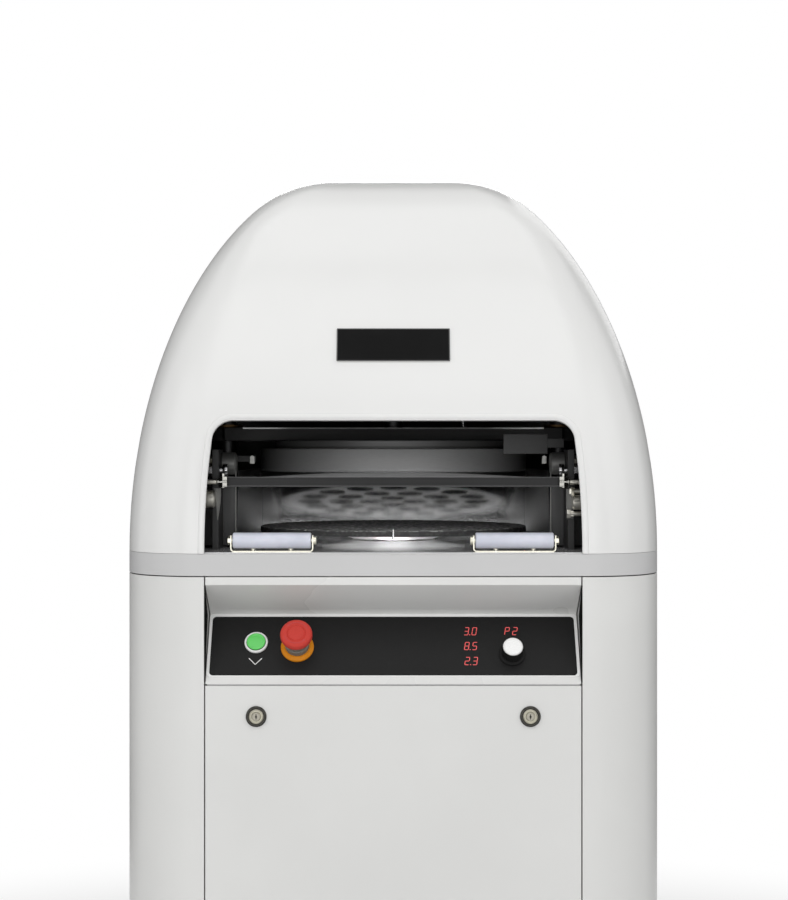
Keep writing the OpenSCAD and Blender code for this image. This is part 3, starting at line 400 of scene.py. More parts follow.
pin = revolve([
    (0, pin_foot), (pin_r, pin_foot), (pin_r, pin_top - 0.0008), (pin_r - 0.0006, pin_top), (0, pin_top),
], 20, Matrix.Translation((0, plate_low.y - 0.0014, 0)))
add_piece("rim_pin", pin, "rounding", zinc)


# Dough head: a black cross-beam on bronze bushes carries the drum, its dividing ring and the press plate.
# The drum is one aluminium turning with a flange; the plate's round cells are bored into its underside.
bronze = metal("turned_bronze", (0.16, 0.1, 0.045, 1.0), 0.45, 0.15)
ring_steel = metal("ring_steel", (0.2, 0.2, 0.195, 1.0), 0.42, 0.12)
beam_black = powder_coat("beam_black", grey(0.007), 0.5, 0.3, 0.3)
softened("crosshead", 0.0015, beam_black)
coat(bronze, "head_bushes")
coat(ring_steel, "divider_ring")
press_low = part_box("press_plate")[0]
press_finish, press_wire = start_material("plate_aluminium")
press_grain = press_wire.noise(180.0, 4.0)
cell_shade_mask = press_wire.along("Z").step(press_low.z + 0.0008, press_low.z + 0.002)
# The insides of the bored cells are dark grey: painted shade in the cells.
fill_shader(press_finish, {
    "Base Color": cell_shade_mask.blend(press_grain.step(0.3, 0.7).blend(grey(0.8), grey(0.9)), grey(0.14)),
    "Metallic": 0.1,
    "Roughness": 0.44 + 0.08 * press_grain,
})
softened("press_plate", 0.0006, press_finish)
drum_low, drum_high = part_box("head_drum")
drum_r, edge_r, flange_r, flange_h, groove = drum_high.x, 0.005, 0.168, 0.011, 0.002
side_top = drum_high.z - flange_h
lower_edge = [(drum_r - edge_r + edge_r * math.sin(a), drum_low.z + edge_r - edge_r * math.cos(a))
              for a in (0.0, 0.4, 0.8, 1.2, math.pi / 2)]
drum_outline = [(0, drum_low.z)] + lower_edge + [
    (drum_r, side_top - 0.001), (drum_r - 0.001, side_top), (flange_r - groove, side_top),
    (flange_r - groove, side_top + groove), (flange_r - 0.0005, side_top + groove),
    (flange_r, side_top + groove + 0.0005), (flange_r, drum_high.z - 0.001), (flange_r - 0.001, drum_high.z),
    (0, drum_high.z),
]
drum_finish, drum_wire = start_material("drum_aluminium")
drum_lines = drum_wire.noise(90.0, 4.0, (1.0, 1.0, 12.0))
flange_painted_light = drum_wire.along("Z").step(side_top - 0.0004, side_top + 0.0004)
# The flange is lighter than the drum's side, though both are one aluminium turning: painted light on the
# flange.
fill_shader(drum_finish, {
    "Base Color": flange_painted_light.blend(drum_lines.step(0.3, 0.7).blend(grey(0.03), grey(0.036)), grey(0.13)),
    "Metallic": 0.15,
    "Roughness": 0.4 + 0.12 * drum_lines,
    "Normal": drum_lines.bump(0.12, 0.0002),
})
drum = add_piece("drum_turning", revolve(drum_outline, 128), "head", drum_finish, 0.5)
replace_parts(drum, "head_drum")


# Guard: a bent steel bar across the opening that gives way inward on two bolts, between black cheeks.
# Its front is flat and near black, a painted shade, with a hem painted lighter as a highlight; a strip along
# its top is folded back to an arched edge and painted lighter as light on its top.
def bridge(work, low, high):
    """Faces between two closed loops of equally many vertices."""
    for k in range(len(low)):
        n = (k + 1) % len(low)
        work.faces.new((low[k], low[n], high[n], high[k]))


def lofted(loops):
    """A mesh through closed loops of equally many points, with its two ends filled."""
    work = bmesh.new()
    rows = [[work.verts.new(p) for p in loop] for loop in loops]
    for low, high in zip(rows, rows[1:]):
        bridge(work, low, high)
    work.faces.new(list(reversed(rows[0])))
    work.faces.new(rows[-1])
    return as_mesh(work, True)


def block(a, b, edge=0.0004):
    """A box between two opposite corners, with rounded edges."""
    a, b = Vector(a), Vector(b)
    work = bmesh.new()
    bmesh.ops.create_cube(work, size=1.0)
    bmesh.ops.scale(work, vec=[abs(d) for d in b - a], verts=work.verts)
    bmesh.ops.translate(work, vec=(a + b) / 2, verts=work.verts)
    bmesh.ops.bevel(work, geom=work.edges[:], offset=edge, segments=2, profile=0.5, affect="EDGES")
    return as_mesh(work, True)


def rod(a, b, radius, edge=0.0004):
    """A round bar from a to b with broken ends."""
    a, b = Vector(a), Vector(b)
    length = (b - a).length
    end = [(0, 0), (radius - edge, 0), (radius, edge)]
    along = (b - a).to_track_quat("Z", "Y").to_matrix().to_4x4()
    return revolve(end + [(r, length - z) for r, z in reversed(end)], 28, Matrix.Translation(a) @ along)


guard_low, guard_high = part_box("guard_bar")
joint = {j["name"]: j for j in frame["joints"]}
guard_axis = Vector(joint["guard_swing"]["pos_m"])
bar_half, bar_y, bar_z = guard_high.x, guard_low.y, guard_low.z
fold_z, fold_d, arch_half, arch_h, arch_steps = bar_z + 0.0125, 0.013, 0.168, 0.0058, 48
strip_t, eye_r, arm_t, hem_r = 0.0016, 0.008, 0.003, 0.0011
along_bar = (0.02, 1.0, 1.0)
# One steel at three levels: the front near black as painted shade, the folded top strip lighter as painted
# light, the hem lighter as a painted highlight.
shaded_bar_steel = brushed_steel("shaded_bar_steel", 0.022, 0.3, along_bar)
lit_strip_steel = brushed_steel("lit_strip_steel", 0.34, 0.5, along_bar)
fill_shader(lit_strip_steel, {"Metallic": 0.1})
highlight_hem_steel = brushed_steel("highlight_hem_steel", 0.1, 0.4, along_bar)
nut_zinc = metal("nut_zinc", (0.4, 0.395, 0.37, 1.0), 0.25, 0.12)
bar_parts = [block((-bar_half, bar_y, bar_z), (bar_half, bar_y + strip_t, fold_z))]
for side in (-1, 1):
    outer, inner = side * bar_half, side * (bar_half - arm_t)
    bar_parts += [
        block((outer, bar_y + strip_t, bar_z + 0.004), (inner, guard_axis.y, fold_z)),
        rod((inner, *guard_axis.yz), (outer, *guard_axis.yz), eye_r),
        block((outer, guard_axis.y - eye_r, fold_z - 0.004),
              (inner, guard_axis.y + eye_r * 0.8, guard_axis.z)),
    ]
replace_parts(add_piece("guard_face", joined(bar_parts), "guard", shaded_bar_steel), "guard_bar")
fold_loops = []
for i in range(arch_steps + 1):
    x = -bar_half + 2 * bar_half * i / arch_steps
    fold_top = fold_z + arch_h * max(0.0, 1 - (x / arch_half) ** 2)
    fold_loops.append([(x, bar_y, fold_z), (x, bar_y + fold_d, fold_top),
                       (x, bar_y + fold_d, fold_top - strip_t), (x, bar_y + 0.0004, fold_z - strip_t)])
add_piece("guard_fold", lofted(fold_loops), "guard", lit_strip_steel)
hem_at = (bar_y + 0.0006, bar_z + 0.0009)
add_piece("guard_hem", rod((-bar_half, *hem_at), (bar_half, *hem_at), hem_r), "guard", highlight_hem_steel)
bolt_x, bolt_y, bolt_r = bar_half - 0.0032, bar_y - 0.0068, 0.0028
bolt_foot, bolt_top = bar_z - 0.0012, bar_z + 0.0173
level_at, level_r, lug_t = (bolt_y, bar_z + 0.0065), 0.0033, 0.0018
end_parts = []
for side in (-1, 1):
    nut_spots = [Matrix.Translation((side * bolt_x, bolt_y, z)) for z in (bar_z, bar_z + 0.0076)]
    end_parts += [
        rod((side * bolt_x, bolt_y, bolt_foot), (side * bolt_x, bolt_y, bolt_top), bolt_r),
        *copies(hexagon(0.0064, 0.0055, 0.0009), nut_spots),
        block((side * (bar_half - 0.009), bar_y - 0.0125, level_at[1] - lug_t / 2),
              (side * (bar_half + 0.0005), bar_y + 0.0006, level_at[1] + lug_t / 2)),
        rod((side * (bar_half + 0.0002), *level_at), (side * (bar_half + 0.0038), *level_at), level_r),
    ]
add_piece("guard_nuts", joined(end_parts), "guard", nut_zinc)
cheek_black = powder_coat("cheek_black", grey(0.011), 0.5, 0.25)
softened("guard_cheeks", 0.001, cheek_black)
coat(zinc, "guard_pivots")


# Catches and dampers on the cheeks: turned barrels, a pointed trip lever, a contact bracket and their bolts.
# Bright plated steel and black tube, screwed to the cheeks.
sideways = Matrix.Rotation(math.pi / 2, 4, "Y")
facing_front = Matrix.Rotation(math.pi / 2, 4, "X")
cheek_low, cheek_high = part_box("guard_cheeks")
cheek_out, cheek_in, cheek_y = cheek_high.x, cheek_high.x - 0.008, cheek_low.y
stud_at, stud_nut_h, tube_at, tube_r, fitting_y = (-0.262, 1.047), 0.005, (-0.232, 1.0415), 0.0145, -0.215
bracket_zinc = metal("bracket_zinc", (0.72, 0.7, 0.63, 1.0), 0.3, 0.05)
catches, damped = [], []
for side, start, barrel_y, z, r in ((-1, 0.2275, cheek_y - 0.0112, 0.9965, 0.0114),
                                    (1, 0.2285, cheek_y - 0.0093, 0.9922, 0.0094)):
    nut_x = min(side * cheek_out, side * (cheek_out + stud_nut_h))
    catches += [
        rod((side * start, barrel_y, z), (side * (cheek_out + 0.028), barrel_y, z), r, 0.0015),
        rod((side * (cheek_out - 0.0005), *stud_at), (side * (cheek_out + 0.018), *stud_at), 0.0035),
        hexagon(0.006, stud_nut_h, 0.0004, Matrix.Translation((nut_x, *stud_at)) @ sideways),
        rod((side * (cheek_in + 0.0006), *level_at), (side * (cheek_out + 0.008), *level_at), level_r),
        block((side * (cheek_in + 0.002), level_at[0], level_at[1] - 0.0022),
              (side * (cheek_out - 0.002), cheek_y + 0.0005, level_at[1] + 0.0022)),
    ]
    tube_root, tube_tip = side * (cheek_in + 0.0005), side * (cheek_in - 0.0195)
    damped.append(rod((tube_root, *tube_at), (tube_tip, *tube_at), tube_r, 0.002))
for start, z in ((0.227, 1.0062), (0.222, 0.9777)):
    bolt_at = (cheek_y - 0.0062, z)
    catches += [
        rod((start, *bolt_at), (cheek_out + 0.022, *bolt_at), 0.0032),
        hexagon(0.006, 0.0045, 0.0004, Matrix.Translation((start, *bolt_at)) @ sideways),
        block((cheek_in + 0.001, cheek_y - 0.0085, z - 0.0035),
              (cheek_out - 0.001, cheek_y + 0.0005, z + 0.0035)),
    ]
add_piece("cheek_catches", joined(catches), "frame", bracket_zinc, 0.5)
trip_outline = [(-0.2297, 1.010), (-0.2207, 1.010), (-0.2213, 0.992), (-0.2245, 0.969), (-0.2256, 0.969),
                (-0.2272, 0.996)]
damped += [
    lofted([[(x, y, z) for x, z in trip_outline] for y in (cheek_y - 0.0016, cheek_y + 0.0004)]),
    block((0.2216, cheek_y - 0.002, 0.971), (cheek_out - 0.001, cheek_y + 0.0004, 1.0095), 0.0005),
]
tube_grey = metal("tube_grey", (0.13, 0.13, 0.125, 1.0), 0.45, 0.15)
fill_shader(tube_grey, {"Metallic": 0.6})
add_piece("cheek_dampers", joined(damped), "frame", tube_grey, 0.5)
contacts = [
    block((0.145, fitting_y - 0.0015, 1.054), (0.203, fitting_y + 0.0015, 1.080), 0.0006),
    block((0.2, fitting_y - 0.0013, 1.062), (cheek_in + 0.0005, fitting_y + 0.0013, 1.074), 0.0005),
]
contact_black = powder_coat("contact_black", grey(0.007), 0.5, 0.25)
add_piece("contact_plates", joined(contacts), "frame", contact_black)
blinds = [block((side * 0.2074, fitting_y - 0.0002, 0.9335), (side * 0.272, fitting_y + 0.0014, 1.018))
          for side in (-1, 1)]
blind_grey = powder_coat("blind_grey", grey(0.024), 0.45, 0.25)
add_piece("side_blinds", joined(blinds), "frame", blind_grey)
keeper = block((-cheek_in - 0.0005, fitting_y - 0.0015, 1.0435), (-0.181, fitting_y + 0.0015, 1.0515), 0.0006)
matt_black = powder_coat("matt_black", grey(0.009), 0.6, 0.3, 0.25)
add_piece("keeper_arm", keeper, "frame", matt_black)
clips = []
for x in (-0.1855, 0.1985):
    head_spot = Matrix.Translation((x, fitting_y - 0.0012, 1.0487))
    clips += [
        hexagon(0.0034, 0.0025, 0.0004, head_spot @ facing_front),
        block((x - 0.003, fitting_y - 0.0022, 1.041), (x + 0.003, fitting_y - 0.001, 1.0472), 0.0003),
    ]
wall_edge_x, wall_edge_y = 0.2057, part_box("splash_sides")[0].y
for x in (-wall_edge_x, wall_edge_x):
    clips.append(rod((x, wall_edge_y, 0.933), (x, wall_edge_y, 1.031), 0.0009))
clip_zinc = metal("clip_zinc", (0.22, 0.22, 0.21, 1.0), 0.4, 0.1)
add_piece("tube_clips", joined(clips), "frame", clip_zinc)
beam_low, beam_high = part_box("crosshead")
# A strip of the lighter strip steel along the beam's top edge: a painted highlight line.
strip_half = 0.2125
edge_strip = block((-strip_half, beam_low.y - 0.0012, beam_high.z - 0.0022),
                   (strip_half, beam_low.y + 0.0004, beam_high.z - 0.0002), 0.0003)
add_piece("beam_edge", edge_strip, "head", lit_strip_steel)


# Front rollers: white nylon on steel axles, each in a bent zinc bracket held down by two countersunk screws.
# A moulding plate is pushed in over them.
nylon, nylon_wire = start_material("roller_nylon")
nylon_cloud = nylon_wire.noise(40.0)
fill_shader(nylon, {
    "Base Color": nylon_cloud.step(0.3, 0.7).blend((0.62, 0.63, 0.72, 1.0), (0.7, 0.71, 0.8, 1.0)),
    "Roughness": 0.32 + 0.1 * nylon_cloud,
    "Subsurface Weight": 0.05,
})
cream = metal("cream_plate", (0.7, 0.68, 0.58, 1.0), 0.34, 0.1)
bracket_low, bracket_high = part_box("roller_brackets")
axle_r, roller_edge = 0.00305, 0.0012
strap_t, strap_half_d, bend_r, strap_gap = 0.0013, 0.006, 0.0035, 0.0022
screw_r, screw_head_r, screw_lift, screw_step = 0.0016, 0.0034, 0.0029, 0.0235
strap_z = bracket_low.z + strap_t / 2
straps, screws = [], []
for name in ("left", "right"):
    low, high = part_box("roller_" + name)
    middle = (low + high) / 2
    radius, half = (high.z - low.z) / 2, (high.x - low.x) / 2
    tube = revolve([
        (axle_r, -half), (radius - roller_edge, -half), (radius, -half + roller_edge),
        (radius, half - roller_edge), (radius - roller_edge, half), (axle_r, half), (axle_r, -half),
    ], 48, Matrix.Translation(middle) @ sideways)
    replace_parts(add_piece("nylon_" + name, tube, name + "_roller", nylon), "roller_" + name)
    ear_x = half + strap_gap
    bend = [(ear_x - bend_r + bend_r * math.cos(a), strap_z + bend_r - bend_r * math.sin(a))
            for a in (0, math.pi / 8, math.pi / 4, 3 * math.pi / 8, math.pi / 2)]
    side_path = [(ear_x, bracket_high.z)] + bend
    line = side_path + [(-x, z) for x, z in reversed(side_path)]
    loops = []
    deep = Vector((0, strap_half_d, 0))
    for i, (x, z) in enumerate(line):
        before, after = line[max(i - 1, 0)], line[min(i + 1, len(line) - 1)]
        run = Vector((after[0] - before[0], 0, after[1] - before[1])).normalized()
        across = Vector((-run.z, 0, run.x)) * strap_t / 2
        centre = Vector((middle.x + x, middle.y, z))
        loops.append([centre - across - deep, centre + across - deep,
                      centre + across + deep, centre - across + deep])
    straps.append(lofted(loops))
    for side in (-1, 1):
        spot = Vector((middle.x + side * screw_step, middle.y - 0.002, bracket_low.z + strap_t))
        screws.append(revolve([
            (0, -0.001), (screw_r, -0.001), (screw_r, screw_lift - 0.0016),
            (screw_head_r, screw_lift - 0.0012), (screw_head_r - 0.0004, screw_lift - 0.0002), (0, screw_lift),
        ], 24, Matrix.Translation(spot)))
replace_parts(add_piece("roller_straps", joined(straps), "frame", cream), "roller_brackets")
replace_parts(add_piece("strap_screws", joined(screws), "frame", cream), "bracket_screws")
softened("roller_axles", 0.0005, cream)


# Cabinet covers: two side sheets rolled round the corners, and a flat rear sheet with the cable gland.
# 2 mm steel, bent and powder coated in a warm light grey; pressed louvres and button screws at the back.
cover_grey = (0.735, 0.735, 0.72, 1.0)
cover_coat = powder_coat("cover_coat", cover_grey, 0.36, 0.12)
black_plastic = powder_coat("black_plastic", grey(0.012), 0.4, 0.25)
for cover in ("left_cover", "right_cover", "rear_cover"):
    softened(cover, 0.0007, cover_coat)
softened("cable_gland", 0.0008, black_plastic)
rear_low, rear_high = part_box("rear_cover")
back_y, louvre_half, louvre_z, louvre_step, slot_half = rear_high.y, 0.1, 0.5, 0.02, 0.092
louvres, slots = [], []
for i in range(10):
    z = louvre_z + louvre_step * i
    loops = []
    for k in range(17):
        share = k / 8 - 1
        swell = max(0.02, (1 - abs(share) ** 6) ** 0.5)
        pressing = ((-0.0004, 0.012), (0.0018 * swell, 0.0085), (0.0036 * swell, 0.003),
                    (0.004 * swell, 0.0004), (0.0034 * swell, 0.0), (-0.0004, 0.0))
        loops.append([(louvre_half * share, back_y + dy, z + dz) for dy, dz in pressing])
    louvres.append(lofted(loops))
    # Black blocks in the louvres' openings: painted shade for the openings.
    slots.append(block((-slot_half, back_y - 0.0003, z - 0.0007),
                       (slot_half, back_y + 0.0028, z + 0.0006), 0.0002))
add_piece("rear_louvres", joined(louvres), "frame", cover_coat, 0.8)
add_piece("louvre_slot_shade", joined(slots), "frame", black_plastic)
screw_inset = 0.014
button = revolve([
    (0, 0.0012), (0.0015, 0.0012), (0.0015, 0.0023), (0.0026, 0.0021), (0.0036, 0.0014), (0.004, 0.0),
    (0, -0.0004),
], 28, Matrix.Rotation(-math.pi / 2, 4, "X"))
button_spots = [Matrix.Translation((x, back_y, rear_low.z + (rear_high.z - rear_low.z) * share))
                for x in (rear_low.x + screw_inset, rear_high.x - screw_inset)
                for share in (0.03, 0.35, 0.66, 0.97)]
add_piece("rear_screws", joined(copies(button, button_spots)), "frame", zinc)


# Control fascia: one sheet bent to a lip, a down-facing slope and the sloping panel, coated like the covers.
# A black printed film lies on the panel.
fascia_coat = powder_coat("fascia_coat", cover_grey, 0.28, 0.08)
softened("control_fascia", 0.0007, fascia_coat)
film, film_wire = start_material("panel_film")
film_grain = film_wire.noise(1500.0, 2.0)
fill_shader(film, {
    "Base Color": film_grain.step(0.3, 0.7).blend(grey(0.011), grey(0.015)),
    "Roughness": 0.46 + 0.08 * film_grain,
    "Specular IOR Level": 0.12,
    "Normal": film_grain.bump(0.1, 0.0001),
})
softened("panel_overlay", 0.0003, film)
coat(black_plastic, "switch_bodies")


# Trim of the panel: a white printed border round the film, black end seals that are painted shade for the gaps
# at the fascia's ends, and a grey seal over the door.
# The seals are foam strips stuck to the covers' returns and under the fascia.
knob_spot = Vector(joint["knob_turn"]["pos_m"])
outward = Vector(joint["knob_turn"]["axis"]).normalized()
up_slope = Vector((0, outward.z, -outward.y))
panel_turn = Matrix((Vector((1, 0, 0)), up_slope, outward)).transposed().to_4x4()


def on_panel(dx, dv, lift):
    """Place on the sloping panel, by steps to the right and up the slope from the knob's middle."""
    spot = knob_spot + Vector((dx, 0, 0)) + up_slope * dv + outward * lift
    return Matrix.Translation(spot) @ panel_turn


def rounded_loop(half_w, low, high, radius, lift):
    """Points of a rectangle with rounded corners, counterclockwise."""
    points = []
    for cx, cy, start in ((half_w - radius, high - radius, 0), (radius - half_w, high - radius, 1),
                          (radius - half_w, low + radius, 2), (half_w - radius, low + radius, 3)):
        for i in range(7):
            a = (start + i / 6) * math.pi / 2
            points.append(Vector((cx + radius * math.cos(a), cy + radius * math.sin(a), lift)))
    return points


film_half, film_low, film_high, film_r, film_top = 0.22925, -0.0296, 0.055, 0.005, 0.001
border_side, border_top, border_low, border_foot, border_t = 0.0036, 0.0042, 0.0014, 0.00005, 0.0006
border = bmesh.new()
inner_low, outer_low, inner_high, outer_high = [
    [border.verts.new(p) for p in loop] for lift in (border_foot, border_t) for loop in (
        rounded_loop(film_half, film_low, film_high, film_r, lift),
        rounded_loop(film_half + border_side, film_low - border_low, film_high + border_top, film_r, lift))]
border_loops = (outer_low, outer_high, inner_high, inner_low)
for a, b in zip(border_loops, border_loops[1:] + border_loops[:1]):
    bridge(border, a, b)
border_mesh = as_mesh(border, True, on_panel(-knob_spot.x, 0, 0))
border_white = powder_coat("border_white", (0.9, 0.9, 0.89, 1.0), 0.3, 0.05)
add_piece("panel_border", border_mesh, "frame", border_white)
fascia_low, fascia_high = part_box("control_fascia")
valley = knob_spot + up_slope * (film_high + 0.005)
lip_z, foot_z, seal_y, seal_share = fascia_high.z - 0.0118, fascia_low.z + 0.002, fascia_low.y + 0.0012, 0.62
seal_outline = [(seal_y, lip_z), (seal_y + seal_share * (valley.y - seal_y), valley.z), (seal_y, foot_z)]
seals = [lofted([[(side * (fascia_high.x + gap), y, z) for y, z in seal_outline] for gap in (0.0006, 0.0014)])
         for side in (-1, 1)]
# The end seals are near black: painted shade for the gaps at the fascia's ends.
shadow_seal_black = powder_coat("shadow_seal_black", grey(0.003), 0.9, 0.3, 0.05)
add_piece("end_seals", joined(seals), "frame", shadow_seal_black)
door_low, door_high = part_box("front_door")
seam_seal = block((fascia_low.x + 0.002, door_low.y + 0.0012, door_high.z + 0.0004),
                  (fascia_high.x - 0.002, door_low.y + 0.005, fascia_low.z - 0.0001), 0.0002)
seal_grey = powder_coat("seal_grey", grey(0.55), 0.6, 0.2)
add_piece("seam_seal", seam_seal, "frame", seal_grey)


# Displays: red seven-segment figures behind the film, three values in a column and a programme number.
# Each figure is a set of slanted bars.
segment_ends = {
    "a": ((0, 2), (1, 2)), "b": ((1, 1), (1, 2)), "c": ((1, 0), (1, 1)), "d": ((0, 0), (1, 0)),
    "e": ((0, 0), (0, 1)), "f": ((0, 1), (0, 2)), "g": ((0, 1), (1, 1)),
}
figure_segments = {
    "0": "abcdef", "2": "abdeg", "3": "abcdg", "5": "acdfg", "8": "abcdefg", "P": "abefg",
}
figure_w, figure_h, figure_step, slant = 0.005, 0.0053, 0.0099, 0.16
stroke, stroke_gap = 0.00085, 0.00051
point_corners = ((-0.0032, -0.0004), (-0.002, -0.0004), (-0.002, 0.0008), (-0.0032, 0.0008))
print_lift = film_top + 0.0001


def flat_shapes(outlines, place):
    """A flat mesh of faces from lists of (x, y) corners, moved to its place."""
    work = bmesh.new()
    for corners in outlines:
        work.faces.new([work.verts.new((x, y, 0)) for x, y in corners])
    return as_mesh(work, False, place)


def figures(text):
    """Outlines of the bars of seven-segment figures, from the origin to the right."""
    bars = []
    at = 0.0
    for sign in text:
        if sign == ".":
            bars.append([(at + x, y) for x, y in point_corners])
            continue
        for segment in figure_segments[sign]:
            a, b = (Vector((x * figure_w, y * figure_h)) for x, y in segment_ends[segment])
            run = (b - a).normalized()
            across = Vector((-run.y, run.x)) * stroke / 2
            a, b = a + run * stroke_gap, b - run * stroke_gap
            tips = (a - run * stroke / 2, a + across, b + across, b + run * stroke / 2, b - across, a - across)
            bars.append([(at + p.x + slant * p.y, p.y) for p in reversed(tips)])
        at += figure_step
    return bars


lit, lit_wire = start_material("display_lit")
fill_shader(lit, {
    "Base Color": (0.3, 0.01, 0.01, 1.0),
    "Roughness": 0.4,
    "Emission Color": lit_wire.noise(200.0).blend((0.68, 0.1, 0.1, 1.0), (0.85, 0.15, 0.14, 1.0)),
    "Emission Strength": 0.9,
})
coat(powder_coat("display_smoked", (0.03, 0.004, 0.004, 1.0), 0.2, 0.0), "led_displays")
for name, text, dx, dv in (("upper", "3.0", -0.0598, 0.0282), ("middle", "8.5", -0.0598, 0.0068),
                           ("lower", "2.3", -0.0598, -0.0147), ("programme", "P2", -0.0085, 0.0284)):
    mesh = flat_shapes(figures(text), on_panel(dx, dv, print_lift))
    add_piece("figures_" + name, mesh, "frame", lit)


# Start button: a white ring round a green cap, with a printed chevron below it.
# Moulded plastic, screwed through the panel.
def moulded(name, colour, roughness, gloss, specular=0.5):
    """Moulded plastic: a fine spark-eroded grain under a smooth skin."""
    made, wire = start_material(name)
    grain = wire.noise(900.0, 2.0)
    return fill_shader(made, {
        "Base Color": grain.step(0.25, 0.7).blend(tinted(colour, 0.9), colour),
        "Roughness": roughness + 0.06 * grain,
        "Specular IOR Level": specular,
        "Coat Weight": gloss,
        "Coat Roughness": 0.12,
        "Normal": grain.bump(0.05, 0.0001),
    })


white_plastic = moulded("white_plastic", (0.9, 0.9, 0.89, 1.0), 0.3, 0.3)
green_plastic = moulded("green_plastic", (0.125, 0.69, 0.13, 1.0), 0.32, 0.2)
start_dx, start_dv, chevron_dv = -0.3215, 0.0165, -0.006
start_place = on_panel(start_dx, start_dv, film_top)
ring_r, ring_in, ring_h = 0.0147, 0.0121, 0.0032
start_ring = revolve([
    (ring_in, 0.0003), (ring_in, ring_h - 0.0006), (ring_in + 0.0006, ring_h), (ring_r - 0.0008, ring_h),
    (ring_r, ring_h - 0.0009), (ring_r, 0.0), (ring_in, 0.0), (ring_in, 0.0003),
], 64, start_place)
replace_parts(add_piece("start_ring", start_ring, "frame", white_plastic), "start_bezel")
cap_r, cap_stem_r, cap_foot, cap_low, cap_top = 0.0118, 0.0078, 0.0008, 0.0037, 0.0046
start_cap = revolve([
    (0, cap_foot), (cap_stem_r, cap_foot), (cap_stem_r, cap_low), (cap_r, cap_low), (cap_r, cap_top - 0.0006),
    (cap_r - 0.0005, cap_top), (cap_r - 0.0012, cap_top), (cap_r - 0.0022, cap_top - 0.0011),
    (cap_r - 0.0035, cap_top - 0.0013), (0, cap_top - 0.0009),
], 64, start_place)
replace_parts(add_piece("start_cap", start_cap, "start", green_plastic), "start_button")
arm, drop, line_w = 0.0084, 0.0088, 0.00095
right_stroke = [(0, -drop), (arm, 0), (arm - 0.0006, line_w), (0, line_w * 1.2 - drop)]
left_stroke = [(-x, y) for x, y in reversed(right_stroke)]
chevron = flat_shapes((left_stroke, right_stroke), on_panel(start_dx, chevron_dv, print_lift))
add_piece("start_chevron", chevron, "frame", white_plastic)


# Emergency stop: red mushroom head on a pale neck and a yellow collar.
# Moulded plastic; the head has a shallow ring and two arrows on its crown.
red_plastic = moulded("red_plastic", (0.57, 0.048, 0.035, 1.0), 0.5, 0.0, 0.2)
arrow_red = moulded("arrow_red", (0.5, 0.03, 0.03, 1.0), 0.45, 0.0)
yellow_plastic = moulded("yellow_plastic", (0.68, 0.235, 0.004, 1.0), 0.4, 0.0, 0.2)
neck_plastic = moulded("neck_plastic", (0.16, 0.15, 0.13, 1.0), 0.4, 0.1)
stop_dx, stop_dv = -0.2695, 0.010
stop_place, collar_place = on_panel(stop_dx, stop_dv, 0.0), on_panel(stop_dx, stop_dv, film_top)
stop_r, stop_top, stop_head_h, stop_stem_r = 0.020, 0.0378, 0.0105, 0.0078
head_low = stop_top - stop_head_h
stop_head = revolve([
    (0, head_low), (stop_r - 0.0035, head_low), (stop_r - 0.0008, head_low + 0.001),
    (stop_r, head_low + 0.003), (stop_r, stop_top - 0.0035), (stop_r - 0.0005, stop_top - 0.0018),
    (stop_r - 0.0018, stop_top - 0.0006),
    (stop_r - 0.0035, stop_top - 0.0001), (stop_r - 0.0075, stop_top), (stop_r - 0.0082, stop_top - 0.0006),
    (stop_r - 0.009, stop_top - 0.001), (stop_r - 0.0097, stop_top - 0.0006), (stop_r - 0.0103, stop_top),
    (0, stop_top + 0.0002),
], 72, stop_place)
stop_stem = revolve([(0, 0.0), (stop_stem_r, 0.0), (stop_stem_r, head_low + 0.0005), (0, head_low + 0.0005)],
                    48, stop_place)
mushroom = add_piece("stop_mushroom", joined([stop_head, stop_stem]), "stop", red_plastic, 0.6)
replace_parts(mushroom, "stop_head")
arrow_in, arrow_out, arrow_tip = 0.0141, 0.0152, 0.22
arrow_faces = []
for turn in (0.0, math.pi):
    arc = [turn + math.radians(a) for a in range(20, 131, 10)]
    faces = [((arrow_in, a), (arrow_out, a), (arrow_out, b), (arrow_in, b)) for a, b in zip(arc, arc[1:])]
    faces.append(((0.0164, arc[-1]), (0.0129, arc[-1]), (0.01465, arc[-1] + arrow_tip)))
    arrow_faces += [[(r * math.cos(t), r * math.sin(t)) for r, t in corners] for corners in faces]
arrows = flat_shapes(arrow_faces, on_panel(stop_dx, stop_dv, stop_top + 0.0001))
add_piece("stop_arrows", arrows, "stop", arrow_red)
collar_r, collar_bore, collar_h = 0.0207, 0.0081, 0.005
collar = revolve([
    (collar_bore, 0.0), (collar_r, 0.0), (collar_r, 0.0022), (collar_r - 0.0005, 0.0029),
    (0.0172, collar_h - 0.0006), (0.0165, collar_h), (0.0095, collar_h), (collar_bore, collar_h - 0.0008),
    (collar_bore, 0.0),
], 72, collar_place)
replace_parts(add_piece("stop_cone", collar, "frame", yellow_plastic, 0.6), "stop_collar")
neck_r, neck_bore, neck_step, neck_top = 0.0152, 0.0083, 0.012, 0.0211
neck = revolve([
    (neck_bore, collar_h), (neck_r, collar_h), (neck_r, neck_step), (neck_r - 0.001, neck_step + 0.001),
    (neck_r - 0.001, neck_top - 0.0007), (neck_r - 0.0017, neck_top), (neck_bore, neck_top),
    (neck_bore, collar_h),
], 56, collar_place)
add_piece("stop_neck", neck, "frame", neck_plastic, 0.6)


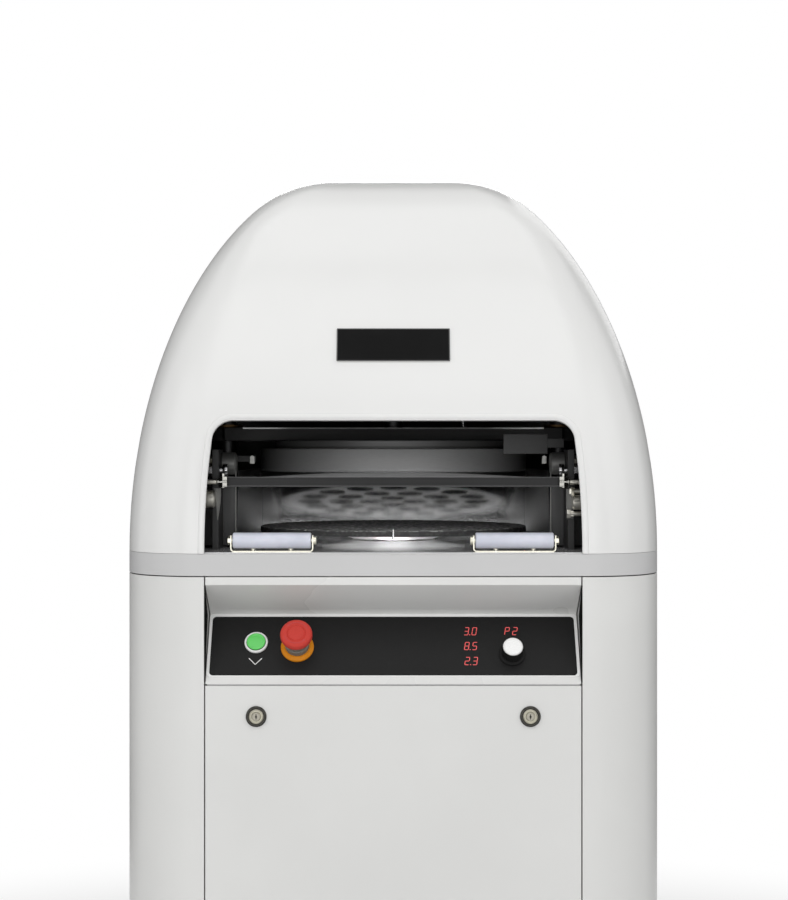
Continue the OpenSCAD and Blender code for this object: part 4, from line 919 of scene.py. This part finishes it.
# Setting knob: a black fluted cup on a flange that turns, with a white cap in its mouth that presses.
# Moulded plastic on the encoder's spindle.
flange_low, flange_top, cup_r, cup_in, cup_floor, cup_top = 0.0013, 0.0045, 0.0135, 0.01265, 0.0085, 0.0202
skirt_r, cup_bore, flutes, flute_d = 0.0165, 0.004, 36, 0.0005
cup_levels = [
    (cup_bore, flange_low, 0), (skirt_r - 0.0006, flange_low, 0), (skirt_r, flange_low + 0.0006, 0),
    (skirt_r, flange_top - 0.0008, 0), (skirt_r - 0.0008, flange_top, 0), (cup_r, flange_top + 0.0006, 1),
    (cup_r, cup_top - 0.0006, 1), (cup_r - 0.0004, cup_top, 0), (cup_in, cup_top, 0), (cup_in, cup_floor, 0),
    (cup_bore, cup_floor, 0), (cup_bore, flange_low, 0),
]
cup = bmesh.new()
cup_loops = []
for r, z, fluted in cup_levels:
    spots = [(r - flute_d * fluted * (i % 2), math.pi * i / flutes) for i in range(2 * flutes)]
    cup_loops.append([cup.verts.new((q * math.cos(a), q * math.sin(a), z)) for q, a in spots])
for low, high in zip(cup_loops, cup_loops[1:]):
    bridge(cup, low, high)
bmesh.ops.remove_doubles(cup, verts=cup.verts, dist=1e-6)
knob_place = on_panel(0, 0, 0)
knob_black = powder_coat("knob_black", grey(0.008), 0.6, 0.2, 0.15)
fluted_cup = add_piece("knob_cup", as_mesh(cup, True, knob_place), "knob", knob_black, 0.5)
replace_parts(fluted_cup, "knob_skirt")
knob_r, knob_low, knob_top = 0.01245, 0.0105, 0.0231
knob = revolve([
    (0, knob_low), (knob_r - 0.0004, knob_low), (knob_r, knob_low + 0.0004), (knob_r, knob_top - 0.0022),
    (knob_r - 0.0006, knob_top - 0.001), (knob_r - 0.0018, knob_top - 0.0002), (knob_r - 0.0035, knob_top),
    (0, knob_top + 0.0001),
], 64, knob_place)
knob_white = moulded("knob_white", (0.94, 0.94, 0.93, 1.0), 0.35, 0.2)
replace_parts(add_piece("knob_white", knob, "knob_top", knob_white), "knob_cap")


# Front door: a tray-shaped sheet, coated like the covers, that tips forward once its two locks are turned.
# Each lock has a pressed rosette and a slotted core with a cam behind the door.
softened("front_door", 0.0007, cover_coat)
lock_dark = metal("lock_dark", (0.05, 0.048, 0.043, 1.0), 0.2, 0.1)
lock_pale = metal("lock_pale", (0.5, 0.48, 0.4, 1.0), 0.4, 0.25)
lock_core = metal("lock_core", (0.3, 0.285, 0.24, 1.0), 0.4, 0.25)
rosette_r, rosette_w, core_r, slot_w, slot_h, pip_r = 0.013, 0.0042, 0.0051, 0.0006, 0.0032, 0.0014
disc_r = rosette_r - rosette_w
dome = [(rosette_r - rosette_w / 2 + rosette_w / 2 * math.cos(a), 0.0008 + 0.0028 * math.sin(a))
        for a in (i * math.pi / 10 for i in range(11))]
rosette = revolve([(disc_r, 0.0), (rosette_r, 0.0)] + dome + [(disc_r, 0.0)], 64, facing_front)
disc = revolve([
    (core_r, 0.0), (disc_r + 0.0004, 0.0), (disc_r + 0.0004, 0.0026), (disc_r - 0.0006, 0.0034),
    (disc_r - 0.0014, 0.0026), (0.0072, 0.001), (0.0062, 0.001), (0.0058, 0.0026), (0.0054, 0.003),
    (core_r, 0.0026), (core_r, 0.0),
], 64, facing_front)
lock_spots = {side: Vector(joint[side + "_lock_turn"]["pos_m"]) for side in ("left", "right")}
lock_places = [Matrix.Translation((spot.x, door_low.y, spot.z)) for spot in lock_spots.values()]
rosettes = add_piece("lock_rings", joined(copies(rosette, lock_places)), "door", lock_dark, 0.5)
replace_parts(rosettes, "lock_barrels")
add_piece("lock_discs", joined(copies(disc, lock_places)), "door", lock_pale, 0.5)
for side, (x, _, z) in lock_spots.items():
    coat(lock_core, "lock_cam_" + side)
    core_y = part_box("lock_cam_" + side)[0].y
    slot_y, slot_back = core_y - 0.0002, core_y + 0.0003
    # The key slot is a dark shape on the core's face, painted shade for the hole.
    key_slot = joined([block((x - slot_w, slot_y, z - slot_h), (x + slot_w, slot_back, z + slot_h), 0.0001),
                       rod((x, slot_y, z), (x, slot_back, z), pip_r, 0.0001)])
    add_piece("key_slot_" + side, key_slot, side + "_lock", lock_dark)


# Hood: one moulded shell in gloss white, flat-fronted with rounded sides, hinged at the back.
# It is open at the front for loading, and its inside is dark grey, painted shade for the space under the hood.
hood_low, hood_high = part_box("hood_shell")
hood_h = hood_high.z - hood_low.z
half_w, front_y, rear_y = hood_high.x, hood_low.y, hood_high.y
rear_reach, corner_r, wall = 0.25, 0.1, 0.004
hood_centre = rear_y - rear_reach
front_reach = hood_centre - front_y
hood_b, shoulder_h, crown_share = 1.084 * hood_h, 0.865 * hood_h, 0.258
opening_half, opening_h, opening_r = 0.2348, 0.1664, 0.0225


def hood_scale(h):
    """Share of the base's plan that the section at height h has, on the ellipse."""
    return math.sqrt(1 - (h / hood_b) ** 2)


def hood_front(h):
    """Where the flat front stands at height h above the table."""
    return hood_centre - front_reach * hood_scale(h)


shoulder_k = hood_scale(shoulder_h)
slope = shoulder_h / (hood_b ** 2 * shoulder_k)
knee_k = shoulder_k - (hood_h - shoulder_h) * slope


def crown(u):
    """Height and scale of the section at u, from 0 at the shoulder to 1 at the crown's rim."""
    h = (1 - u) ** 2 * shoulder_h + 2 * u * (1 - u) * hood_h + u * u * hood_h
    return h, (1 - u) ** 2 * shoulder_k + 2 * u * (1 - u) * knee_k + u * u * crown_share


def section(h, k, inset, start_x):
    """Right half of a section's outline, from the opening's edge or the front's middle round to the back."""
    front_steps, corner_steps, side_steps = 12, 16, 8
    x, r = half_w * k - inset, corner_r * k - inset
    front, rear = hood_centre - front_reach * k + inset, hood_centre + rear_reach * k - inset
    z = hood_low.z + h * (hood_h - inset) / hood_h
    arc = [i / corner_steps * math.pi / 2 for i in range(corner_steps + 1)]
    points = [(start_x + (x - r - start_x) * i / front_steps, front) for i in range(front_steps)]
    points += [(x - r + r * math.sin(a), front + r - r * math.cos(a)) for a in arc]
    points += [(x, front + r + (rear - front - 2 * r) * i / side_steps) for i in range(1, side_steps)]
    points += [(x - r + r * math.cos(a), rear - r + r * math.sin(a)) for a in arc]
    points += [((x - r) * (1 - i / side_steps), rear) for i in range(1, side_steps + 1)]
    return [Vector((px, py, z)) for px, py in points]


def opening_edge(h):
    """Half width of the opening at height h above the table."""
    rise = max(0.0, h - (opening_h - opening_r))
    return opening_half * hood_scale(h) - opening_r + math.sqrt(max(0.0, opening_r ** 2 - rise ** 2))


heights = [opening_h * i / 24 for i in range(17)]
heights += [opening_h - opening_r * (1 - math.sin(i / 10 * math.pi / 2)) for i in range(11)]
heights = sorted({round(h, 6) for h in heights})
beside = [(h, hood_scale(h), opening_edge(h)) for h in heights]
above = [(h, hood_scale(h), 0.0) for h in (opening_h + (shoulder_h - opening_h) * i / 40 for i in range(41))]
above += [(*crown(i / 24), 0.0) for i in range(1, 25)]


def lay_rows(work, rows, inset):
    """Rows of vertices for the right half and, mirrored, the left half."""
    made = []
    for h, k, start_x in rows:
        points = section(h, k, inset, start_x)
        right = [work.verts.new(p) for p in points]
        left = [work.verts.new((-p.x, p.y, p.z)) for p in points]
        made.append((right, left))
    return made


def skin(work, rows):
    """Faces between rows, on each half."""
    for (right_low, left_low), (right_high, left_high) in zip(rows, rows[1:]):
        for low, high in ((right_low, right_high), (left_low, left_high)):
            for i in range(len(low) - 1):
                work.faces.new((low[i], low[i + 1], high[i + 1], high[i]))


def hood_skin(inset, rim):
    """A skin of the hood, with a rim that reaches inward by the given depth at its open edges."""
    work = bmesh.new()
    rows = lay_rows(work, beside, inset)
    skin(work, rows)
    upper = lay_rows(work, above, inset)
    skin(work, upper)
    right, left = upper[-1]
    crown_rim = right + left[::-1]
    middle = work.verts.new((0, hood_centre, hood_high.z - inset))
    for a, b in zip(crown_rim, crown_rim[1:] + crown_rim[:1]):
        if (a.co - b.co).length > 1e-6:
            work.faces.new((a, b, middle))
    if rim > 0:
        inner = lay_rows(work, beside, inset + rim)
        for half in (0, 1):
            foot, foot_in = rows[0][half], inner[0][half]
            for i in range(len(foot) - 1):
                work.faces.new((foot[i], foot_in[i], foot_in[i + 1], foot[i + 1]))
            for low, high, low_in, high_in in zip(rows, rows[1:], inner, inner[1:]):
                work.faces.new((low[half][0], high[half][0], high_in[half][0], low_in[half][0]))
        top, top_in = rows[-1], inner[-1]
        work.faces.new((top[0][0], top[1][0], top_in[1][0], top_in[0][0]))
    bmesh.ops.remove_doubles(work, verts=work.verts, dist=1e-5)
    loose = [v for v in work.verts if not v.link_faces]
    bmesh.ops.delete(work, geom=loose, context="VERTS")
    return as_mesh(work, True)


gloss, gloss_wire = start_material("hood_gloss")
gloss_drift = gloss_wire.noise(3.0)
fill_shader(gloss, {
    "Base Color": gloss_drift.step(0.3, 0.7).blend((0.765, 0.765, 0.755, 1.0), (0.795, 0.795, 0.785, 1.0)),
    "Roughness": 0.2 + 0.06 * gloss_drift,
    "Normal": gloss_wire.noise(90.0, 1.0).bump(0.015, 0.0006),
})
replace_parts(add_piece("hood_moulding", hood_skin(0.0, wall), "hood", gloss, 0.9), "hood_shell")
# The inside's dark grey is painted shade.
lining = powder_coat("hood_shade_lining", grey(0.05), 0.6, 0.5, 0.3)
add_piece("hood_shade_lining", hood_skin(wall, 0.0), "hood", lining, 0.9)


# Rolled edge round the opening: a flattened bead along the cut, in the hood's gloss white.
# It is moulded in one with the shell and runs up one side, along the top and down the other.
bead_w, bead_d, bead_sides, bead_out, bead_sink = 0.0042, 0.0026, 14, 0.004032, 0.00091
path = [Vector((opening_edge(h), hood_front(h), hood_low.z + h)) for h in heights]
lintel = path[-1]
path += [Vector((lintel.x * (1 - i / 10), lintel.y, lintel.z)) for i in range(1, 11)]
path += [Vector((-p.x, p.y, p.z)) for p in reversed(path[:-1])]
bead_turns = [2 * math.pi * k / bead_sides for k in range(bead_sides)]
bead_loops = []
for i, p in enumerate(path):
    ahead = (path[min(i + 1, len(path) - 1)] - path[max(i - 1, 0)]).normalized()
    away = Vector((ahead.z, 0, -ahead.x)).normalized()
    lean = Vector((0, 1, 0)) - ahead * ahead.y
    middle = p + away * bead_out
    middle.y = hood_front(max(0.0, middle.z - hood_low.z)) + bead_sink
    bead_loops.append([middle + bead_w * math.cos(a) * away + bead_d * math.sin(a) * lean for a in bead_turns])
add_piece("opening_bead", lofted(bead_loops), "hood", gloss)


# Bare plate on the hood's front, and the two hinges at its back.
# The plate is black gloss plastic with rounded edges and a paler rim, stuck on, with no marks on it; the
# hinges are bent zinc-plated leaves.
badge_low, badge_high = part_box("badge_plate")
badge_middle = (badge_low + badge_high) / 2
badge_half_h = badge_high.z - badge_middle.z
badge_gloss, badge_wire = start_material("plate_gloss")
badge_haze = badge_wire.noise(25.0, 4.0)
from_sides = badge_high.x - badge_wire.maths("ABSOLUTE", badge_wire.along("X"))
from_ends = badge_half_h - badge_wire.maths("ABSOLUTE", badge_wire.along("Z") - badge_middle.z)
rim_mask = 1.0 - badge_wire.maths("MINIMUM", from_sides, from_ends).step(0.001, 0.0016)
fill_shader(badge_gloss, {
    "Base Color": rim_mask.blend(badge_haze.step(0.3, 0.8).blend(grey(0.003), grey(0.006)), grey(0.14)),
    "Roughness": 0.16 + 0.1 * badge_haze,
    "Specular IOR Level": 0.06,
})
softened("badge_plate", 0.0008, badge_gloss, 3)
for hinge in ("hinge_bases", "hood_leaves"):
    softened(hinge, 0.0004, zinc)


# Studio: a pale round floor, a white surround, large soft lamps round the machine and three small ones inside
# the opening. Dark and white cards show only in reflections.
# The camera stands level before the middle of the machine.
def seen_directly(wire):
    """1 for rays from the camera, also by way of a mirror or glass, and 0 for all other light."""
    kinds = ("Is Camera Ray", "Is Glossy Ray", "Is Transmission Ray")
    camera_ray, glossy_ray, clear_ray = (wire.node("ShaderNodeLightPath", out=kind) for kind in kinds)
    return camera_ray + glossy_ray + clear_ray


def into_scene(name, data):
    """An object of the studio, linked into the scene."""
    made = bpy.data.objects.new(name, data)
    bpy.context.scene.collection.objects.link(made)
    return made


floor_r, floor_z, shadow_r, white_r = 4.0, -0.0005, 1.0, 2.2
floor_mesh = revolve([(0, floor_z), (0.6 * floor_r, floor_z), (floor_r, floor_z)], 96)
floor_paper, floor_wire = start_material("floor_paper")
fill_shader(floor_paper, {"Base Color": grey(0.76), "Roughness": 0.8})
floor_nodes = floor_paper.node_tree.nodes
paper = Wire(floor_paper.node_tree, floor_nodes["Principled BSDF"].outputs[0])
glow = floor_wire.node("ShaderNodeEmission", {"Color": grey(1.0), "Strength": 1.0})
distance = floor_wire.node("ShaderNodeVectorMath", {0: floor_wire.place()}, out="Value", operation="LENGTH")
faded = seen_directly(floor_wire) * distance.step(shadow_r, white_r)
mixed = floor_wire.node("ShaderNodeMixShader", {0: faded, 1: paper, 2: glow})
floor_wire.fill(floor_nodes["Material Output"], {"Surface": mixed})
floor_mesh.materials.append(floor_paper)
into_scene("floor", floor_mesh)

world = bpy.data.worlds.new("studio")
bpy.context.scene.world = world
world.use_nodes = True
air = Wire(world.node_tree)
ambient = 0.32
air.fill(world.node_tree.nodes["Background"], {
    "Color": grey(1.0),
    "Strength": ambient + (1 - ambient) * seen_directly(air).step(0.0, 1.0),
})


def soft_lamp(name, place, target, width, height, power, spread=180):
    """A rectangular lamp that faces its target, with its light spread over an angle in degrees."""
    light = bpy.data.lights.new(name, "AREA")
    light.shape = "RECTANGLE"
    light.size = width
    light.size_y = height
    light.energy = power
    light.spread = math.radians(spread)
    lamp = into_scene(name, light)
    lamp.location = place
    lamp.rotation_mode = "QUATERNION"
    lamp.rotation_quaternion = (Vector(target) - Vector(place)).to_track_quat("-Z", "Y")
    return lamp


aim = (0, 0, 0.95)
soft_lamp("front_lamp", (-0.2, -4.6, 1.6), aim, 4.4, 3.0, 70)
soft_lamp("upper_lamp", (0, -2.3, 4.0), (0, -0.2, 1.2), 3.4, 2.6, 30)
soft_lamp("top_lamp", (0, 0.1, 4.0), (0, 0, 1.2), 2.4, 1.6, 13)
soft_lamp("right_lamp", (2.7, -1.9, 2.0), (0.2, -0.1, 1.0), 1.9, 2.8, 15)
soft_lamp("left_lamp", (-2.7, -1.9, 2.0), (-0.2, -0.1, 1.0), 1.9, 2.8, 15)
soft_lamp("back_lamp", (0, 3.2, 1.9), aim, 1.2, 1.6, 26)
inside_lamps = (
    soft_lamp("inner_lamp", (0, -0.312, 0.98), (0, 0, 1.05), 0.34, 0.016, 0.55, 84),
    soft_lamp("hub_lamp", (0, -0.255, 0.9355), (0, -0.09, 0.9405), 0.03, 0.004, 0.03, 12),
    soft_lamp("table_lamp", (0, -0.255, 0.9362), (0, -0.09, 0.9385), 0.3, 0.004, 0.05, 12),
)
for lamp in inside_lamps:
    lamp.visible_camera = False
    lamp.visible_glossy = False

flag_cloth, flag_wire = start_material("flag_cloth")
fill_shader(flag_cloth, {"Base Color": flag_wire.noise(8.0).blend(grey(0.02), grey(0.03)), "Roughness": 0.9})
card_white, card_wire = start_material("card_white")
fill_shader(card_white, {
    "Base Color": card_wire.noise(8.0).blend(grey(0.8), grey(0.85)),
    "Emission Color": grey(1.0),
    "Emission Strength": 0.8,
})
cards = {
    "flag_left": (flag_cloth, (-2.2, 0.6, 0.0), (-0.7, 3.0, 0.0), (-0.7, 3.0, 3.4), (-2.2, 0.6, 3.4)),
    "flag_right": (flag_cloth, (2.2, 0.6, 0.0), (2.2, 0.6, 3.4), (0.7, 3.0, 3.4), (0.7, 3.0, 0.0)),
    "flag_top": (flag_cloth, (-1.8, 1.5, 3.1), (1.8, 1.5, 3.1), (1.8, 3.2, 2.6), (-1.8, 3.2, 2.6)),
    "flag_front": (flag_cloth, (-0.9, -2.3, 1.3), (0.9, -2.3, 1.3), (0.9, -2.3, 1.95), (-0.9, -2.3, 1.95)),
    "card_right": (card_white, (0.97, 1.5, 1.5), (1.62, 0.85, 1.68), (0.66, 0.85, 2.7), (0.45, 1.5, 2.06)),
}
for name, (finish, *corners) in cards.items():
    sheet = bpy.data.meshes.new(name)
    sheet.from_pydata(corners, [], [(0, 1, 2, 3)])
    sheet.materials.append(finish)
    card = into_scene(name, sheet)
    card.visible_camera = False
    card.visible_diffuse = False
    card.visible_shadow = False

camera_data = bpy.data.cameras.new("camera")
camera_data.sensor_width = 36.0
camera_data.lens = 70.96
camera = into_scene("camera", camera_data)
camera.location = (0.0009, -2.55, 1.059)
camera.rotation_euler = (math.pi / 2, 0, 0)
bpy.context.scene.camera = camera
bpy.context.scene.view_settings.view_transform = "Standard"
